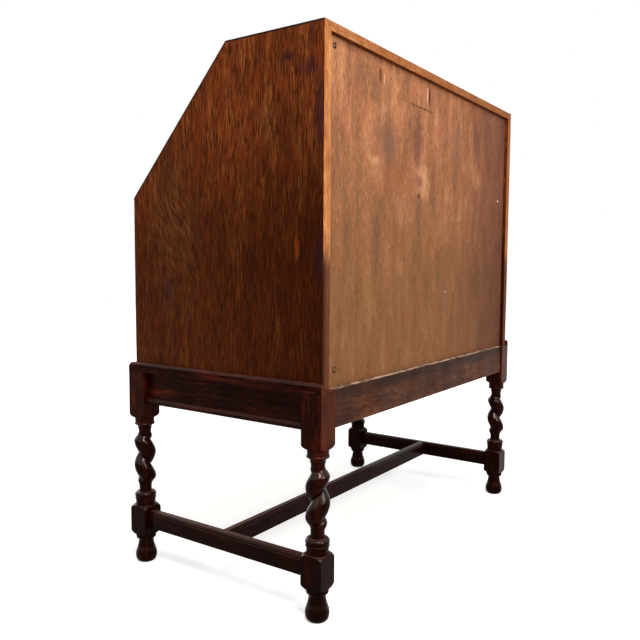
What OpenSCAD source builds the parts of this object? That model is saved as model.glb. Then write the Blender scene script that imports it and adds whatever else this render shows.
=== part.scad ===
// Oak slant-front desk on a barley-twist stand.
// Millimetres. +X is to the right of someone sitting at the desk, the front
// faces -Y, +Z is up and the feet stand on z = 0.

/* [Case] */
// Width of the case over its two sides
case_w = 882; // [760:2:1000]
// Depth of the case from its front edge to its back edge
case_d = 469; // [440:1:540]
// Height of the case above the stand
case_h = 618; // [600:1:680]
// Depth of the flat top behind the slope
top_d = 218; // [190:1:250]
// Height of the upright front below the slope
upright_h = 349; // [340:1:380]
// Thickness of each side
side_t = 20; // [16:1:24]
// Thickness of the top board
top_t = 16; // [14:1:20]
// Thickness of the bottom board
bottom_t = 18; // [12:1:22]
// Thickness of the writing bed
bed_t = 18; // [14:1:22]
// Thickness of the plywood back panel
back_t = 5; // [4:1:8]
// Distance from the back edges in to the back panel
back_recess = 9; // [4:1:12]
// Width of the battens that the back panel is screwed to
batten_w = 34; // [24:1:40]
// Thickness of those battens
batten_t = 14; // [10:1:18]

/* [Stand] */
// Height of the stand under the case
stand_h = 412; // [400:1:470]
// Side of the square of each leg
leg_s = 44; // [40:1:48]
// How far the stand shows beside the case
side_reveal = 9.5; // [6:0.5:12]
// How far the stand shows in front of the case
front_reveal = 13; // [12:0.5:16]
// How far the stand shows behind the case
back_reveal = 4.5; // [2:0.5:8]
// Rise of the moulding round the foot of the case
moulding_h = 13; // [9:1:16]
// Thickness of that moulding's base, which the case stands on
moulding_base = 6; // [5:1:8]
// Height of the front and side rails
rail_h = 66; // [56:1:76]
// Height of the back rail, which is plain
back_rail_h = 70; // [56:1:80]
// Thickness of the rails
rail_t = 20; // [16:1:22]
// Distance from the legs' outer face in to the face of a beaded rail
rail_recess = 14.5; // [10:0.5:18]
// Height of the bead along the foot of the front and side rails
bead_h = 11; // [8:1:14]
// How far that bead stands out from its rail
bead_out = 9; // [7:0.5:10]
// Height of the stretchers
stretcher_h = 35; // [28:1:36]
// Width of the stretchers
stretcher_w = 22; // [18:1:28]
// Height of the stretchers' underside above the floor
stretcher_z = 77; // [76:1:78]

/* [Leg turning] */
// Radius of the foot at its widest
foot_r = 22; // [19:0.2:22]
// Radius of the foot's neck
foot_neck_r = 15.4; // [13:0.2:17]
// Height of the turned foot below the ring
foot_h = 50; // [44:1:54]
// Height of the ring between foot and lower block
ring_h = 10; // [6:1:12]
// Height of the lower block, which takes the stretchers
block_h = 62; // [60:1:68]
// Height of the turned base between the lower block and the lower neck
base_h = 29; // [24:1:34]
// Radius of the torus on that base
torus_r = 22; // [19:0.5:23]
// Radius of the two necks
neck_r = 12.6; // [11:0.2:14]
// Height of the plain neck below the twist
neck_h = 11; // [8:1:16]
// Height of the plain neck above the twist
upper_neck_h = 6; // [4:1:16]
// Height of the twisted length
twist_h = 116; // [90:1:118]
// Radius of the twist at the rope's crest
rope_r = 22; // [19:0.2:22]
// Radius of the twist in the crease between two turns of the rope
rope_root_r = 11; // [9:0.2:13]
// Height that one turn of the rope climbs
rope_pitch = 52.6; // [45:0.2:64]
// Radius of the collars under the upper block and over the lower one
collar_r = 20.4; // [18:0.2:21]

/* [Flap] */
// Thickness of the flap
flap_t = 18; // [16:1:20]
// Gap round the flap
flap_gap = 0.6; // [0.4:0.1:1.5]
// Distance between the outer hinges
hinge_span = 600; // [400:10:640]
// Length of each hinge along its pin
hinge_l = 60; // [50:2:76]
// Width of each hinge leaf
leaf_w = 28; // [22:1:34]
// Thickness of each hinge leaf
leaf_t = 1.6; // [1.2:0.1:2]
// Radius of the hinge knuckles
knuckle_r = 3.2; // [2.8:0.1:4]
// Radius of the hinge pins
pin_r = 1.4; // [1:0.1:1.6]
// Height of the rail that the closed flap rests against
stop_h = 21; // [16:1:28]
// Width of the lock in the flap
lock_w = 60; // [50:1:70]
// Height of the lock in the flap
lock_h = 46; // [42:1:54]
// Travel of the lock's bolt
bolt_travel = 6; // [4:0.5:6.5]

/* [Lopers] */
// Thickness of each flap support
loper_t = 18; // [14:1:22]
// Length of each flap support
loper_l = 370; // [330:5:390]
// Reach of a flap support's knob in front of the case
loper_knob_l = 19; // [14:1:19]
// Thickness of the partition beside each flap support
partition_t = 12; // [10:1:16]

/* [Drawers] */
// Height of the opening for the top drawer and the flap supports
top_row_h = 76; // [70:1:82]
// Height of the opening for the middle drawer
middle_row_h = 83; // [78:1:88]
// Thickness of the rails between the drawers
blade_t = 16; // [12:1:18]
// Depth of those rails from front to back
blade_d = 60; // [40:2:80]
// Width of the lower runners
runner_w = 26; // [20:1:34]
// Thickness of a drawer front
front_t = 18; // [16:1:22]
// Thickness of a drawer's sides
drawer_side_t = 9; // [8:1:12]
// Thickness of a drawer's back
drawer_back_t = 8; // [6:1:12]
// Thickness of a drawer's bottom
drawer_bottom_t = 4; // [3:1:5]
// Length of the long drawers from front to back
drawer_l = 410; // [380:5:420]
// Gap round a drawer front
drawer_gap = 1; // [0.6:0.1:2]
// Gap under a drawer where it slides on its runners
run_gap = 0.3; // [0.2:0.1:0.5]

/* [Handles] */
// Distance of each handle from the middle of its drawer
handle_x = 250; // [200:5:300]
// Distance between the two posts of a handle
post_span = 52; // [46:1:64]
// Thickness of a handle's plate
plate_t = 1.6; // [1.2:0.1:2.4]
// Distance of the bail's pivot from the drawer front
pivot_out = 13; // [11:1:16]
// Radius of the ball on each post
ball_r = 4.4; // [3.8:0.1:4.8]
// Radius of the bail's rod
bail_r = 2.2; // [1.8:0.1:2.6]
// Drop of the bail below its pivot
bail_drop = 25; // [20:1:28]
// Radius of the bail's pivot ends
pivot_r = 1.5; // [1.2:0.1:1.7]
// Running clearance of pivots and hinge pins
fit = 0.05; // [0.02:0.01:0.1]

/* [Pigeonholes] */
// Depth of the pigeonholes
pigeon_d = 176; // [140:2:180]
// Number of pigeonholes side by side above the shelf
pigeon_count = 6; // [4:1:8]
// Thickness of the dividers
divider_t = 6; // [5:1:9]
// Thickness of the shelf
shelf_t = 8; // [6:1:12]
// Height of the space under the shelf
under_shelf_h = 74; // [62:1:90]
// Width of the small drawer
small_drawer_w = 262; // [220:2:320]
// Thickness of the small drawer's front
small_front_t = 10; // [8:1:14]
// Thickness of the small drawer's sides, back and bottom
small_board_t = 6; // [5:1:8]

/* [Hidden] */
$fn = 48;

// A hair that keeps a cut from ending on the face that it opens
eps = 0.5;

// Colours of the woods and metals
oak_dark = [0.24, 0.11, 0.07];
oak_side = [0.40, 0.21, 0.12];
oak_edge = [0.78, 0.54, 0.34];
oak_drawer = [0.62, 0.45, 0.29];
ply = [0.63, 0.43, 0.29];
brass = [0.72, 0.56, 0.28];
steel = [0.55, 0.55, 0.56];

// Heights of the case
case_z = stand_h;
top_z = case_z + case_h;
slope_z = case_z + upright_h;
ceiling_z = top_z - top_t;
floor_z = case_z + bottom_t;

// How far things reach in front of the case: handles, knobs, the flap's lip
// and the stand
slope_angle = atan2(case_h - upright_h, case_d - top_d);
ball_reach = pivot_out + ball_r;
lip_reach = flap_t * sin(slope_angle);
front_reach = max(ball_reach, loper_knob_l, lip_reach, front_reveal);

// The desk is centred on its overall depth, handles included
case_front = (front_reach - back_reveal - case_d) / 2;
case_back = case_front + case_d;
slope_y = case_back - top_d;
panel_y = case_back - back_recess - back_t;
batten_y = panel_y - batten_t;
inner_w = case_w - 2 * side_t;

// The flap turns about the front edge of the writing bed, and its outer
// face lies in the slope of the two sides
bed_z = slope_z - flap_t / cos(slope_angle);
slope_l = (slope_y - case_front) * cos(slope_angle) + (top_z - bed_z) * sin(slope_angle);
flap_l = slope_l - flap_gap;
flap_w = inner_w - 2 * flap_gap;
flap_nose_r = 5;

// Rows of the drawers, from the bed down. The open flap lies level with the
// bed, so the top row starts below both.
first_row_z = bed_z - max(bed_t, flap_t);
row_top = [
    first_row_z,
    first_row_z - top_row_h - blade_t,
    first_row_z - top_row_h - blade_t - middle_row_h - blade_t];
row_floor = [
    row_top[0] - top_row_h,
    row_top[1] - middle_row_h,
    floor_z];
slot_w = loper_t + 2 * run_gap;
row_w = [
    inner_w - 2 * (slot_w + partition_t),
    inner_w,
    inner_w];

// Places of the stand
stand_x = case_w / 2 + side_reveal;
stand_front = case_front - front_reveal;
stand_back = case_back + back_reveal;
leg_top = stand_h - moulding_base;
leg_x = stand_x - leg_s / 2;
leg_front_y = stand_front + leg_s / 2;
leg_back_y = stand_back - leg_s / 2;
stand_mid_y = (leg_front_y + leg_back_y) / 2;

// Heights up the leg
ring_z = foot_h;
block_z = ring_z + ring_h;
base_z = block_z + block_h;
neck_z = base_z + base_h;
twist_z = neck_z + neck_h;
upper_neck_z = twist_z + twist_h;
cove_z = upper_neck_z + upper_neck_h;
collar_z = cove_z + 10;
upper_block_z = collar_z + 15;
shoulder_h = 12;

// Rope of the twist: sides round it, rings up it, and how fast it swells
// out of the necks
rope_sides = 22;
rope_rings = 48;
rope_ramp = 19;
rope_bury = 2;

// Points of a cubic curve from a to d
function curve(a, b, c, d, n) = [
    for (i = [0:n])
        let (t = i / n, s = 1 - t)
        s * s * s * a + 3 * s * s * t * b + 3 * s * t * t * c + t * t * t * d];

// Points of an arc round c
function arc(c, r, from, to, n) = [
    for (i = [0:n])
        let (a = from + (to - from) * i / n)
        c + r * [cos(a), sin(a)]];

// A profile drawn in y and z, drawn out along x over width w
module along_x(w) {
    translate([-w / 2, 0, 0])
        rotate([90, 0, 90])
            linear_extrude(w) children();
}

// A profile drawn in x and z, drawn out along y from y0 to y1
module along_y(y0, y1) {
    translate([0, y1, 0])
        rotate([90, 0, 0])
            linear_extrude(y1 - y0) children();
}

// A board from its lowest to its highest corner
module board(low, high) {
    translate(low) cube(high - low);
}

module both_sides() {
    children();
    mirror([1, 0, 0]) children();
}

// Frame of the closed flap: y runs up the slope from the hinge, z points out
// of the desk, and z = 0 is the flap's inner face
module on_slope() {
    translate([0, case_front, bed_z])
        rotate([slope_angle, 0, 0]) children();
}

// Turned foot, ring and lower collars of a leg, up to the lower neck
module leg_turning_low() {
    belly_z = 14;
    belly_r = min(foot_r, leg_s / 2);
    rotate_extrude()
        polygon(concat(
            [[0, 0]],
            curve([belly_r * 0.6, 0], [belly_r * 0.88, 0.5], [belly_r, 7], [belly_r, belly_z], 5),
            curve([belly_r, belly_z], [belly_r, 27], [foot_neck_r, 30],
                [foot_neck_r, ring_z - 3], 8),
            [[foot_neck_r + 1.5, ring_z]],
            curve([collar_r - 2, ring_z], [collar_r + 0.8, ring_z + 1],
                [collar_r + 0.8, block_z - 3], [collar_r - 0.6, block_z], 4),
            [[collar_r - 0.6, block_z + 4], [0, block_z + 4]]));
}

module leg_turning_base() {
    torus = 6.6;
    torus_z = neck_z - torus - 0.4;
    rotate_extrude()
        polygon(concat(
            [[0, base_z - 4], [collar_r - 0.4, base_z - 4],
             [collar_r - 0.4, torus_z - torus - 2],
             [torus_r - 0.6, torus_z - torus - 2],
             [torus_r - 0.6, torus_z - torus]],
            arc([torus_r - torus, torus_z], torus, -90, 90, 8),
            [[0, torus_z + torus]]));
}

module leg_turning_top() {
    quirk = 1.2;
    rotate_extrude()
        polygon(concat(
            [[0, cove_z]],
            curve([neck_r + quirk, cove_z], [neck_r + quirk, cove_z + 5],
                [collar_r - 5, collar_z - 1], [collar_r - 1.4, collar_z - 0.5], 5),
            [[collar_r, collar_z], [collar_r + 0.4, collar_z + 1.4],
             [collar_r, collar_z + 2.8], [collar_r - 0.8, collar_z + 3.4],
             [collar_r - 0.8, upper_block_z - 4], [collar_r, upper_block_z],
             [collar_r, upper_block_z + 4], [0, upper_block_z + 4]]));
}

// A square block whose corners are turned away where it meets the turning
module leg_block(z0, z1, low_shoulder, high_shoulder) {
    wide = leg_s * 0.72;
    tight = leg_s * 0.48;
    low = low_shoulder ? curve([tight, z0], [wide * 0.86, z0 + 0.5],
        [wide, z0 + shoulder_h * 0.5], [wide, z0 + shoulder_h], 5) : [[wide, z0]];
    high = high_shoulder ? curve([wide, z1 - shoulder_h], [wide, z1 - shoulder_h * 0.5],
        [wide * 0.86, z1 - 0.5], [tight, z1], 5) : [[wide, z1]];
    intersection() {
        translate([-leg_s / 2, -leg_s / 2, z0]) cube([leg_s, leg_s, z1 - z0]);
        rotate_extrude() polygon(concat([[0, z0]], low, high, [[0, z1]]));
    }
}

// The barley twist and its two necks: one full rope wound round the leg, with a
// sharp crease between its turns, that swells out of the necks. The points of
// each ring turn with the rope, so that the crease runs along them.
module barley_twist(hand, turn) {
    middle_z = (twist_z + upper_neck_z) / 2;
    levels = concat(
        [neck_z - rope_bury],
        [for (i = [0:rope_rings]) twist_z + twist_h * i / rope_rings],
        [cove_z + rope_bury]);
    last = len(levels) - 1;
    function swell(z) =
        let (t = min(1, max(0, min(z - twist_z, upper_neck_z - z) / rope_ramp)))
        t * t * (3 - 2 * t);
    function wind(z) =
        turn + hand * 360 * (min(upper_neck_z, max(twist_z, z)) - middle_z) / rope_pitch;
    points = [
        for (z = levels, j = [0:rope_sides - 1])
            let (
                a = 360 * j / rope_sides - 180,
                girth = rope_root_r + (rope_r - rope_root_r) * cos(a / 2),
                r = neck_r + (girth - neck_r) * swell(z))
            [r * cos(a + wind(z)), r * sin(a + wind(z)), z]];
    function at(i, j) = i * rope_sides + (j % rope_sides);
    walls = [
        for (i = [0:last - 1], j = [0:rope_sides - 1], half = [0, 1])
            let (
                a = at(i, j),
                b = at(i, j + 1),
                c = at(i + 1, j + 1),
                d = at(i + 1, j))
            hand > 0
                ? (half == 0 ? [a, d, b] : [d, c, b])
                : (half == 0 ? [a, d, c] : [a, c, b])];
    low_cap = [for (j = [1:rope_sides - 2]) [at(0, 0), at(0, j), at(0, j + 1)]];
    high_cap = [for (j = [1:rope_sides - 2]) [at(last, 0), at(last, j + 1), at(last, j)]];
    polyhedron(points = points, faces = concat(walls, low_cap, high_cap));
}

module leg(x, y, hand, turn) {
    color(oak_dark)
        translate([x, y, 0]) {
            union() {
                leg_turning_low();
                leg_block(block_z, base_z, true, true);
                leg_turning_base();
                barley_twist(hand, turn);
                leg_turning_top();
                leg_block(upper_block_z, leg_top, true, false);
            }
        }
}

// Opposite corners are wound the same way
module leg_front_left() {
    leg(-leg_x, leg_front_y, 1, 140);
}

module leg_front_right() {
    leg(leg_x, leg_front_y, -1, 233);
}

module leg_back_left() {
    leg(-leg_x, leg_back_y, -1, 230);
}

module leg_back_right() {
    leg(leg_x, leg_back_y, 1, 173);
}

// Section of a beaded rail: x is 0 on its outer face and grows outwards
module beaded_rail_section() {
    nose = bead_h / 2;
    foot_z = leg_top - rail_h;
    polygon(concat(
        [[-rail_t, foot_z]],
        arc([bead_out - nose, foot_z + nose], nose, -90, 90, 10),
        [[0, foot_z + bead_h], [0, leg_top], [-rail_t, leg_top]]));
}

module rail_front() {
    color(oak_dark)
        translate([0, stand_front + rail_recess, 0])
            along_x(2 * leg_x - leg_s)
                mirror([1, 0]) beaded_rail_section();
}

// The back rail is flush with the back of the case and carries it
module rail_back() {
    color(oak_dark)
        board([-leg_x + leg_s / 2, case_back - rail_t, stand_h - back_rail_h],
            [leg_x - leg_s / 2, case_back, stand_h]);
}

module rail_right() {
    color(oak_dark)
        translate([stand_x - rail_recess, 0, 0])
            along_y(leg_front_y + leg_s / 2, leg_back_y - leg_s / 2)
                beaded_rail_section();
}

module rail_left() {
    mirror([1, 0, 0]) rail_right();
}

// Section of the moulding that the case stands in: x is 0 on the face of the
// case. Its base lies on legs and rails, and its rounded lip rises outside.
module moulding_section(reveal) {
    flat = reveal * 0.35;
    fillet_z = 3;
    steps = 6;
    polygon(concat(
        [[reveal - leg_s, -moulding_base], [reveal, -moulding_base]],
        [for (i = [0:steps])
            let (a = 90 * i / steps)
            [flat + (reveal - flat) * cos(a), fillet_z + (moulding_h - fillet_z) * sin(a)]],
        [[0, moulding_h], [0, 0], [reveal - leg_s, 0]]));
}

// The mitre runs from the stand's corner through the case's corner
mitre_outer = [stand_x, stand_front];
mitre_inner = mitre_outer + leg_s * [-side_reveal / front_reveal, 1];

// Cuts a length of moulding to its plan
module cut_to_plan(plan) {
    intersection() {
        children();
        translate([0, 0, leg_top - eps])
            linear_extrude(moulding_base + moulding_h + 2 * eps) polygon(plan);
    }
}

module moulding_right() {
    color(oak_dark)
        cut_to_plan([
            mitre_outer, mitre_inner, [stand_x - leg_s, mitre_inner[1]],
            [stand_x - leg_s, stand_back], [stand_x, stand_back]])
            translate([case_w / 2, 0, stand_h])
                along_y(stand_front, stand_back)
                    moulding_section(side_reveal);
}

module moulding_left() {
    mirror([1, 0, 0]) moulding_right();
}

module moulding_front() {
    color(oak_dark)
        cut_to_plan([
            mitre_outer, mitre_inner, [-mitre_inner[0], mitre_inner[1]],
            [-mitre_outer[0], mitre_outer[1]]])
            translate([0, case_front, stand_h])
                along_x(2 * stand_x)
                    mirror([1, 0]) moulding_section(front_reveal);
}

// Section of a stretcher: a thumbnail moulding runs along both upper edges
module stretcher_section() {
    half = stretcher_w / 2;
    step = 1.5;
    round_r = 5;
    side_points = concat(
        [[half, 0], [half, stretcher_h - round_r - step], [half - step, stretcher_h - round_r - step]],
        arc([half - step - round_r, stretcher_h - round_r], round_r, 0, 90, 6));
    polygon(concat(
        side_points,
        [for (i = [len(side_points) - 1:-1:0]) [-side_points[i][0], side_points[i][1]]]));
}

module stretcher_right() {
    color(oak_dark)
        translate([leg_x, 0, stretcher_z])
            along_y(leg_front_y + leg_s / 2, leg_back_y - leg_s / 2)
                stretcher_section();
}

module stretcher_left() {
    mirror([1, 0, 0]) stretcher_right();
}

// The centre stretcher is scribed to the mouldings of the side stretchers
module stretcher_centre() {
    color(oak_dark)
        difference() {
            translate([0, stand_mid_y, stretcher_z])
                along_x(2 * leg_x) stretcher_section();
            stretcher_right();
            stretcher_left();
            both_sides()
                board([leg_x, stand_front, stretcher_z - eps],
                    [leg_x + leg_s, stand_back, stretcher_z + stretcher_h + eps]);
        }
}

// The top board before the lock's mortise is cut: its ends are mitred to the
// sides and its front edge is square to the slope
module top_form() {
    intersection() {
        along_x(case_w)
            polygon([
                [slope_y, top_z], [case_back, top_z], [case_back, ceiling_z],
                [slope_y + top_t * tan(slope_angle), ceiling_z]]);
        along_y(slope_y - eps, case_back + eps)
            polygon([
                [-case_w / 2, top_z], [case_w / 2, top_z],
                [inner_w / 2, ceiling_z], [-inner_w / 2, ceiling_z]]);
    }
}

module side_right() {
    color(oak_side)
        difference() {
            translate([(case_w - side_t) / 2, 0, 0])
                along_x(side_t)
                    polygon([
                        [case_front, case_z], [case_back, case_z], [case_back, top_z],
                        [slope_y, top_z], [case_front, slope_z]]);
            top_form();
        }
}

module side_left() {
    mirror([1, 0, 0]) side_right();
}

module top_board() {
    color(oak_side)
        difference() {
            top_form();
            on_slope()
                board([-bolt_w / 2 - bolt_play, slope_l - eps, bolt_low - bolt_play],
                    [bolt_w / 2 + bolt_play, slope_l + bolt_travel + bolt_play,
                     bolt_low + bolt_t + bolt_play]);
        }
}

module bottom_board() {
    color(oak_drawer)
        board([-inner_w / 2, case_front, case_z], [inner_w / 2, panel_y, floor_z]);
}

module back_panel() {
    color(ply)
        board([-inner_w / 2, panel_y, case_z], [inner_w / 2, panel_y + back_t, ceiling_z]);
}

// Battens behind the writing compartment and behind the drawers
module back_battens() {
    color(oak_drawer)
        both_sides() {
            board([inner_w / 2 - batten_w, batten_y, floor_z],
                [inner_w / 2, panel_y, bed_z - bed_t]);
            board([inner_w / 2 - batten_w, batten_y, bed_z],
                [inner_w / 2, panel_y, ceiling_z]);
        }
}

// Middles of the hinges along the flap
hinge_xs = [-hinge_span / 2, 0, hinge_span / 2];
knuckle_room = knuckle_r + 0.4;
hinge_play = 0.3;
middle_knuckle = hinge_l / 3;

module at_hinges() {
    for (x = hinge_xs)
        translate([x, 0, 0]) children();
}

// Room for the knuckles, cut from the bed and from the flap
module knuckle_recess() {
    at_hinges()
        rotate([0, 90, 0])
            cylinder(r = knuckle_room, h = hinge_l + 2 * hinge_play, center = true);
}

module writing_bed() {
    color(oak_side)
        difference() {
            board([-inner_w / 2, case_front + flap_gap, bed_z - bed_t],
                [inner_w / 2, panel_y, bed_z]);
            translate([0, case_front, bed_z]) {
                knuckle_recess();
                at_hinges()
                    board([-hinge_l / 2, 0, -leaf_t], [hinge_l / 2, leaf_w, eps]);
            }
        }
}

// The bed's leaf holds the two outer knuckles of each hinge
module bed_hinge_leaves() {
    color(brass)
        translate([0, case_front, bed_z])
            at_hinges()
                difference() {
                    union() {
                        board([-hinge_l / 2, knuckle_room, -leaf_t], [hinge_l / 2, leaf_w, 0]);
                        both_sides() {
                            board([middle_knuckle / 2, 0, -leaf_t],
                                [hinge_l / 2, knuckle_room, 0]);
                            translate([middle_knuckle / 2, 0, 0])
                                rotate([0, 90, 0])
                                    cylinder(r = knuckle_r, h = (hinge_l - middle_knuckle) / 2);
                        }
                    }
                    rotate([0, 90, 0]) cylinder(r = pin_r + fit, h = 2 * hinge_l, center = true);
                }
}

module flap_hinge_leaves() {
    knuckle_l = middle_knuckle - 2 * hinge_play;
    color(brass)
        on_slope()
            at_hinges()
                difference() {
                    union() {
                        board([-hinge_l / 2, knuckle_room, 0], [hinge_l / 2, leaf_w, leaf_t]);
                        board([-knuckle_l / 2, 0, 0], [knuckle_l / 2, knuckle_room, leaf_t]);
                        rotate([0, 90, 0])
                            cylinder(r = knuckle_r, h = knuckle_l, center = true);
                    }
                    rotate([0, 90, 0]) cylinder(r = pin_r + fit, h = 2 * hinge_l, center = true);
                }
}

module hinge_pins() {
    color(steel)
        translate([0, case_front, bed_z])
            at_hinges()
                rotate([0, 90, 0]) cylinder(r = pin_r, h = hinge_l, center = true);
}

// Sizes of the lock, its bolt and its key, which the flap and the top follow
lock_t = 9;
bolt_w = 28;
bolt_t = 3.2;
bolt_low = 2.4;
bolt_l = 26;
bolt_play = 0.4;
key_y = flap_l - 34;
key_r = 2;
key_bit_r = 6.2;
key_bit_t = 2;
key_play = 0.4;
key_room_r = 7;
key_low = 2.6;

// Keyhole: a round hole with a slot under it for the bit
module keyhole(z0, z1) {
    translate([0, key_y, z0]) {
        cylinder(r = key_r + key_play, h = z1 - z0);
        board([-key_bit_t / 2 - key_play, -key_bit_r - key_play, 0],
            [key_bit_t / 2 + key_play, 0, z1 - z0]);
    }
}

module lock_pocket() {
    board([-lock_w / 2, flap_l - lock_h, -eps], [lock_w / 2, flap_l + eps, lock_t]);
}

module flap_board() {
    nose = [flap_nose_r, flap_t - flap_nose_r];
    color(oak_side)
        on_slope()
            difference() {
                along_x(flap_w)
                    polygon(concat(
                        [[0, 0], [flap_l, 0], [flap_l, flap_t]],
                        arc(nose, flap_nose_r, 90, 180, 6)));
                knuckle_recess();
                at_hinges()
                    board([-hinge_l / 2, 0, -eps], [hinge_l / 2, leaf_w, leaf_t]);
                lock_pocket();
                keyhole(lock_t - eps, flap_t + eps);
            }
}

module flap_escutcheon() {
    plate_r = 9;
    rise = 5;
    plate = 1.2;
    color(brass)
        on_slope()
            difference() {
                translate([0, key_y - 1, flap_t]) {
                    for (side = [-1, 1])
                        translate([0, side * rise, 0]) cylinder(r = plate_r, h = plate);
                    board([-plate_r, -rise, 0], [plate_r, rise, plate]);
                }
                keyhole(flap_t - eps, flap_t + plate + eps);
            }
}

module flap_lock() {
    color(brass)
        on_slope()
            difference() {
                board([-lock_w / 2, flap_l - lock_h, 0], [lock_w / 2, flap_l, lock_t]);
                board([-bolt_w / 2 - bolt_play, flap_l - bolt_l - 1, bolt_low - bolt_play],
                    [bolt_w / 2 + bolt_play, flap_l + eps, bolt_low + bolt_t + bolt_play]);
                translate([0, key_y, key_low - key_play])
                    cylinder(r = key_room_r, h = lock_t);
            }
}

module lock_bolt() {
    color(steel)
        on_slope()
            board([-bolt_w / 2, flap_l - bolt_l, bolt_low],
                [bolt_w / 2, flap_l - bolt_play, bolt_low + bolt_t]);
}

module lock_key() {
    bow_r = 8;
    wire_r = 1.6;
    shank_l = flap_t + 12;
    color(steel)
        on_slope()
            translate([0, key_y, 0]) {
                translate([0, 0, key_low]) cylinder(r = key_r, h = shank_l - key_low);
                board([-key_bit_t / 2, -key_bit_r, key_low],
                    [key_bit_t / 2, 0, lock_t - 1]);
                translate([0, 0, shank_l + bow_r - wire_r / 2])
                    rotate([0, 90, 0])
                        rotate_extrude() translate([bow_r, 0]) circle(r = wire_r);
            }
}

// Rail under the top, against which the closed flap rests
module flap_stop_rail() {
    lean = stop_h / tan(slope_angle);
    face_y = case_front + (ceiling_z - bed_z) / tan(slope_angle);
    color(oak_side)
        along_x(inner_w)
            polygon([
                [face_y, ceiling_z], [face_y - lean, ceiling_z - stop_h],
                [pigeon_y - 2, ceiling_z - stop_h], [pigeon_y - 2, ceiling_z]]);
}

module drawer_rails() {
    color(oak_side)
        for (row = [0, 1])
            board([-inner_w / 2, case_front, row_floor[row] - blade_t],
                [inner_w / 2, case_front + blade_d, row_floor[row]]);
}

// Runners carry the drawers behind the rails, and the upper pair also
// carries the flap supports and their partitions
module drawer_runners() {
    upper_w = slot_w + partition_t + runner_w;
    widths = [upper_w, runner_w];
    color(oak_drawer)
        both_sides()
            for (row = [0, 1])
                board([inner_w / 2 - widths[row], case_front + blade_d, row_floor[row] - blade_t],
                    [inner_w / 2, batten_y, row_floor[row]]);
}

module loper_partitions() {
    color(oak_side)
        both_sides()
            board([inner_w / 2 - slot_w - partition_t, case_front, row_floor[0]],
                [inner_w / 2 - slot_w, batten_y, row_top[0]]);
}

// A flap support slides in the slot between the side and its partition
module loper() {
    x0 = inner_w / 2 - run_gap - loper_t;
    board([x0, case_front, row_floor[0] + run_gap],
        [x0 + loper_t, case_front + loper_l, row_top[0] - run_gap]);
}

module loper_knob() {
    neck = 3.6;
    head = 8;
    translate([inner_w / 2 - run_gap - loper_t / 2, case_front, (row_floor[0] + row_top[0]) / 2])
        rotate([90, 0, 0])
            rotate_extrude()
                polygon(concat(
                    [[0, 0], [head - 1, 0], [head - 1.5, 1.5], [neck, 4],
                     [neck, loper_knob_l * 0.4]],
                    curve([neck, loper_knob_l * 0.4], [head + 1, loper_knob_l * 0.45],
                        [head + 2, loper_knob_l], [0, loper_knob_l], 8)));
}

module loper_right() {
    color(oak_side) loper();
}

module loper_left() {
    color(oak_side) mirror([1, 0, 0]) loper();
}

module loper_knob_right() {
    color(brass) loper_knob();
}

module loper_knob_left() {
    color(brass) mirror([1, 0, 0]) loper_knob();
}

// Sizes that the pieces of a long drawer share. Its sides stand clear of the
// opening by the same gap as its front.
lap = 5;
groove_d = 4;
groove_up = 7;
side_drop = 5;
tail_count = 3;
tail_root = 2;

function front_low(row) = row_floor[row] + run_gap;
function front_high(row) = row_top[row] - drawer_gap;
function side_high(row) = front_high(row) - side_drop;
function half_front(row) = row_w[row] / 2 - drawer_gap;

// Outline of the dovetails on the front end of a drawer side, in y and z
module tails(y0, y1, low, high) {
    step = (high - low) / tail_count;
    splay = 1.6;
    for (i = [0:tail_count - 1])
        let (z0 = low + step * (i + 0.22), z1 = low + step * (i + 0.78))
            polygon([[y1, z0], [y1, z1], [y0, z1 + splay], [y0, z0 - splay]]);
}

module drawer_tails(row) {
    both_sides()
        translate([half_front(row) - drawer_side_t / 2, 0, 0])
            along_x(drawer_side_t)
                tails(case_front + lap, case_front + front_t + tail_root,
                    front_low(row), side_high(row));
}

module drawer_bottom_form(row) {
    half = half_front(row) - drawer_side_t + groove_d;
    board([-half, case_front + front_t - groove_d, front_low(row) + groove_up],
        [half, case_front + drawer_l, front_low(row) + groove_up + drawer_bottom_t]);
}

module drawer_front(row) {
    half = half_front(row);
    color(oak_side)
        difference() {
            board([-half, case_front, front_low(row)],
                [half, case_front + front_t, front_high(row)]);
            drawer_tails(row);
            drawer_bottom_form(row);
        }
}

module drawer_box(row) {
    half = half_front(row);
    color(oak_drawer) {
        difference() {
            union() {
                both_sides()
                    board([half - drawer_side_t, case_front + front_t, front_low(row)],
                        [half, case_front + drawer_l, side_high(row)]);
                drawer_tails(row);
            }
            drawer_bottom_form(row);
        }
        board([-half + drawer_side_t, case_front + drawer_l - drawer_back_t,
               front_low(row) + groove_up + drawer_bottom_t],
            [half - drawer_side_t, case_front + drawer_l, side_high(row) - 4]);
    }
}

module drawer_bottom(row) {
    color(oak_drawer) drawer_bottom_form(row);
}

// Handles hang a little above the middle of each front
function handle_z(row) = (row_floor[row] + row_top[row]) / 2 + 8;

module at_handle(row, side) {
    translate([side * handle_x, case_front, handle_z(row)]) children();
}

module handle_plate() {
    wing_r = 9;
    middle_r = 15;
    rotate([90, 0, 0])
        linear_extrude(plate_t) {
            circle(r = middle_r);
            for (side = [-1, 1])
                translate([side * post_span / 2, 0]) circle(r = wing_r);
            square([post_span, 2 * wing_r - 5], center = true);
        }
    for (side = [-1, 1])
        translate([side * post_span / 2, 0, 0])
            difference() {
                rotate([90, 0, 0]) handle_post();
                translate([0, -pivot_out, 0])
                    rotate([0, 90, 0])
                        cylinder(r = pivot_r + fit, h = 4 * ball_r, center = true);
            }
}

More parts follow.
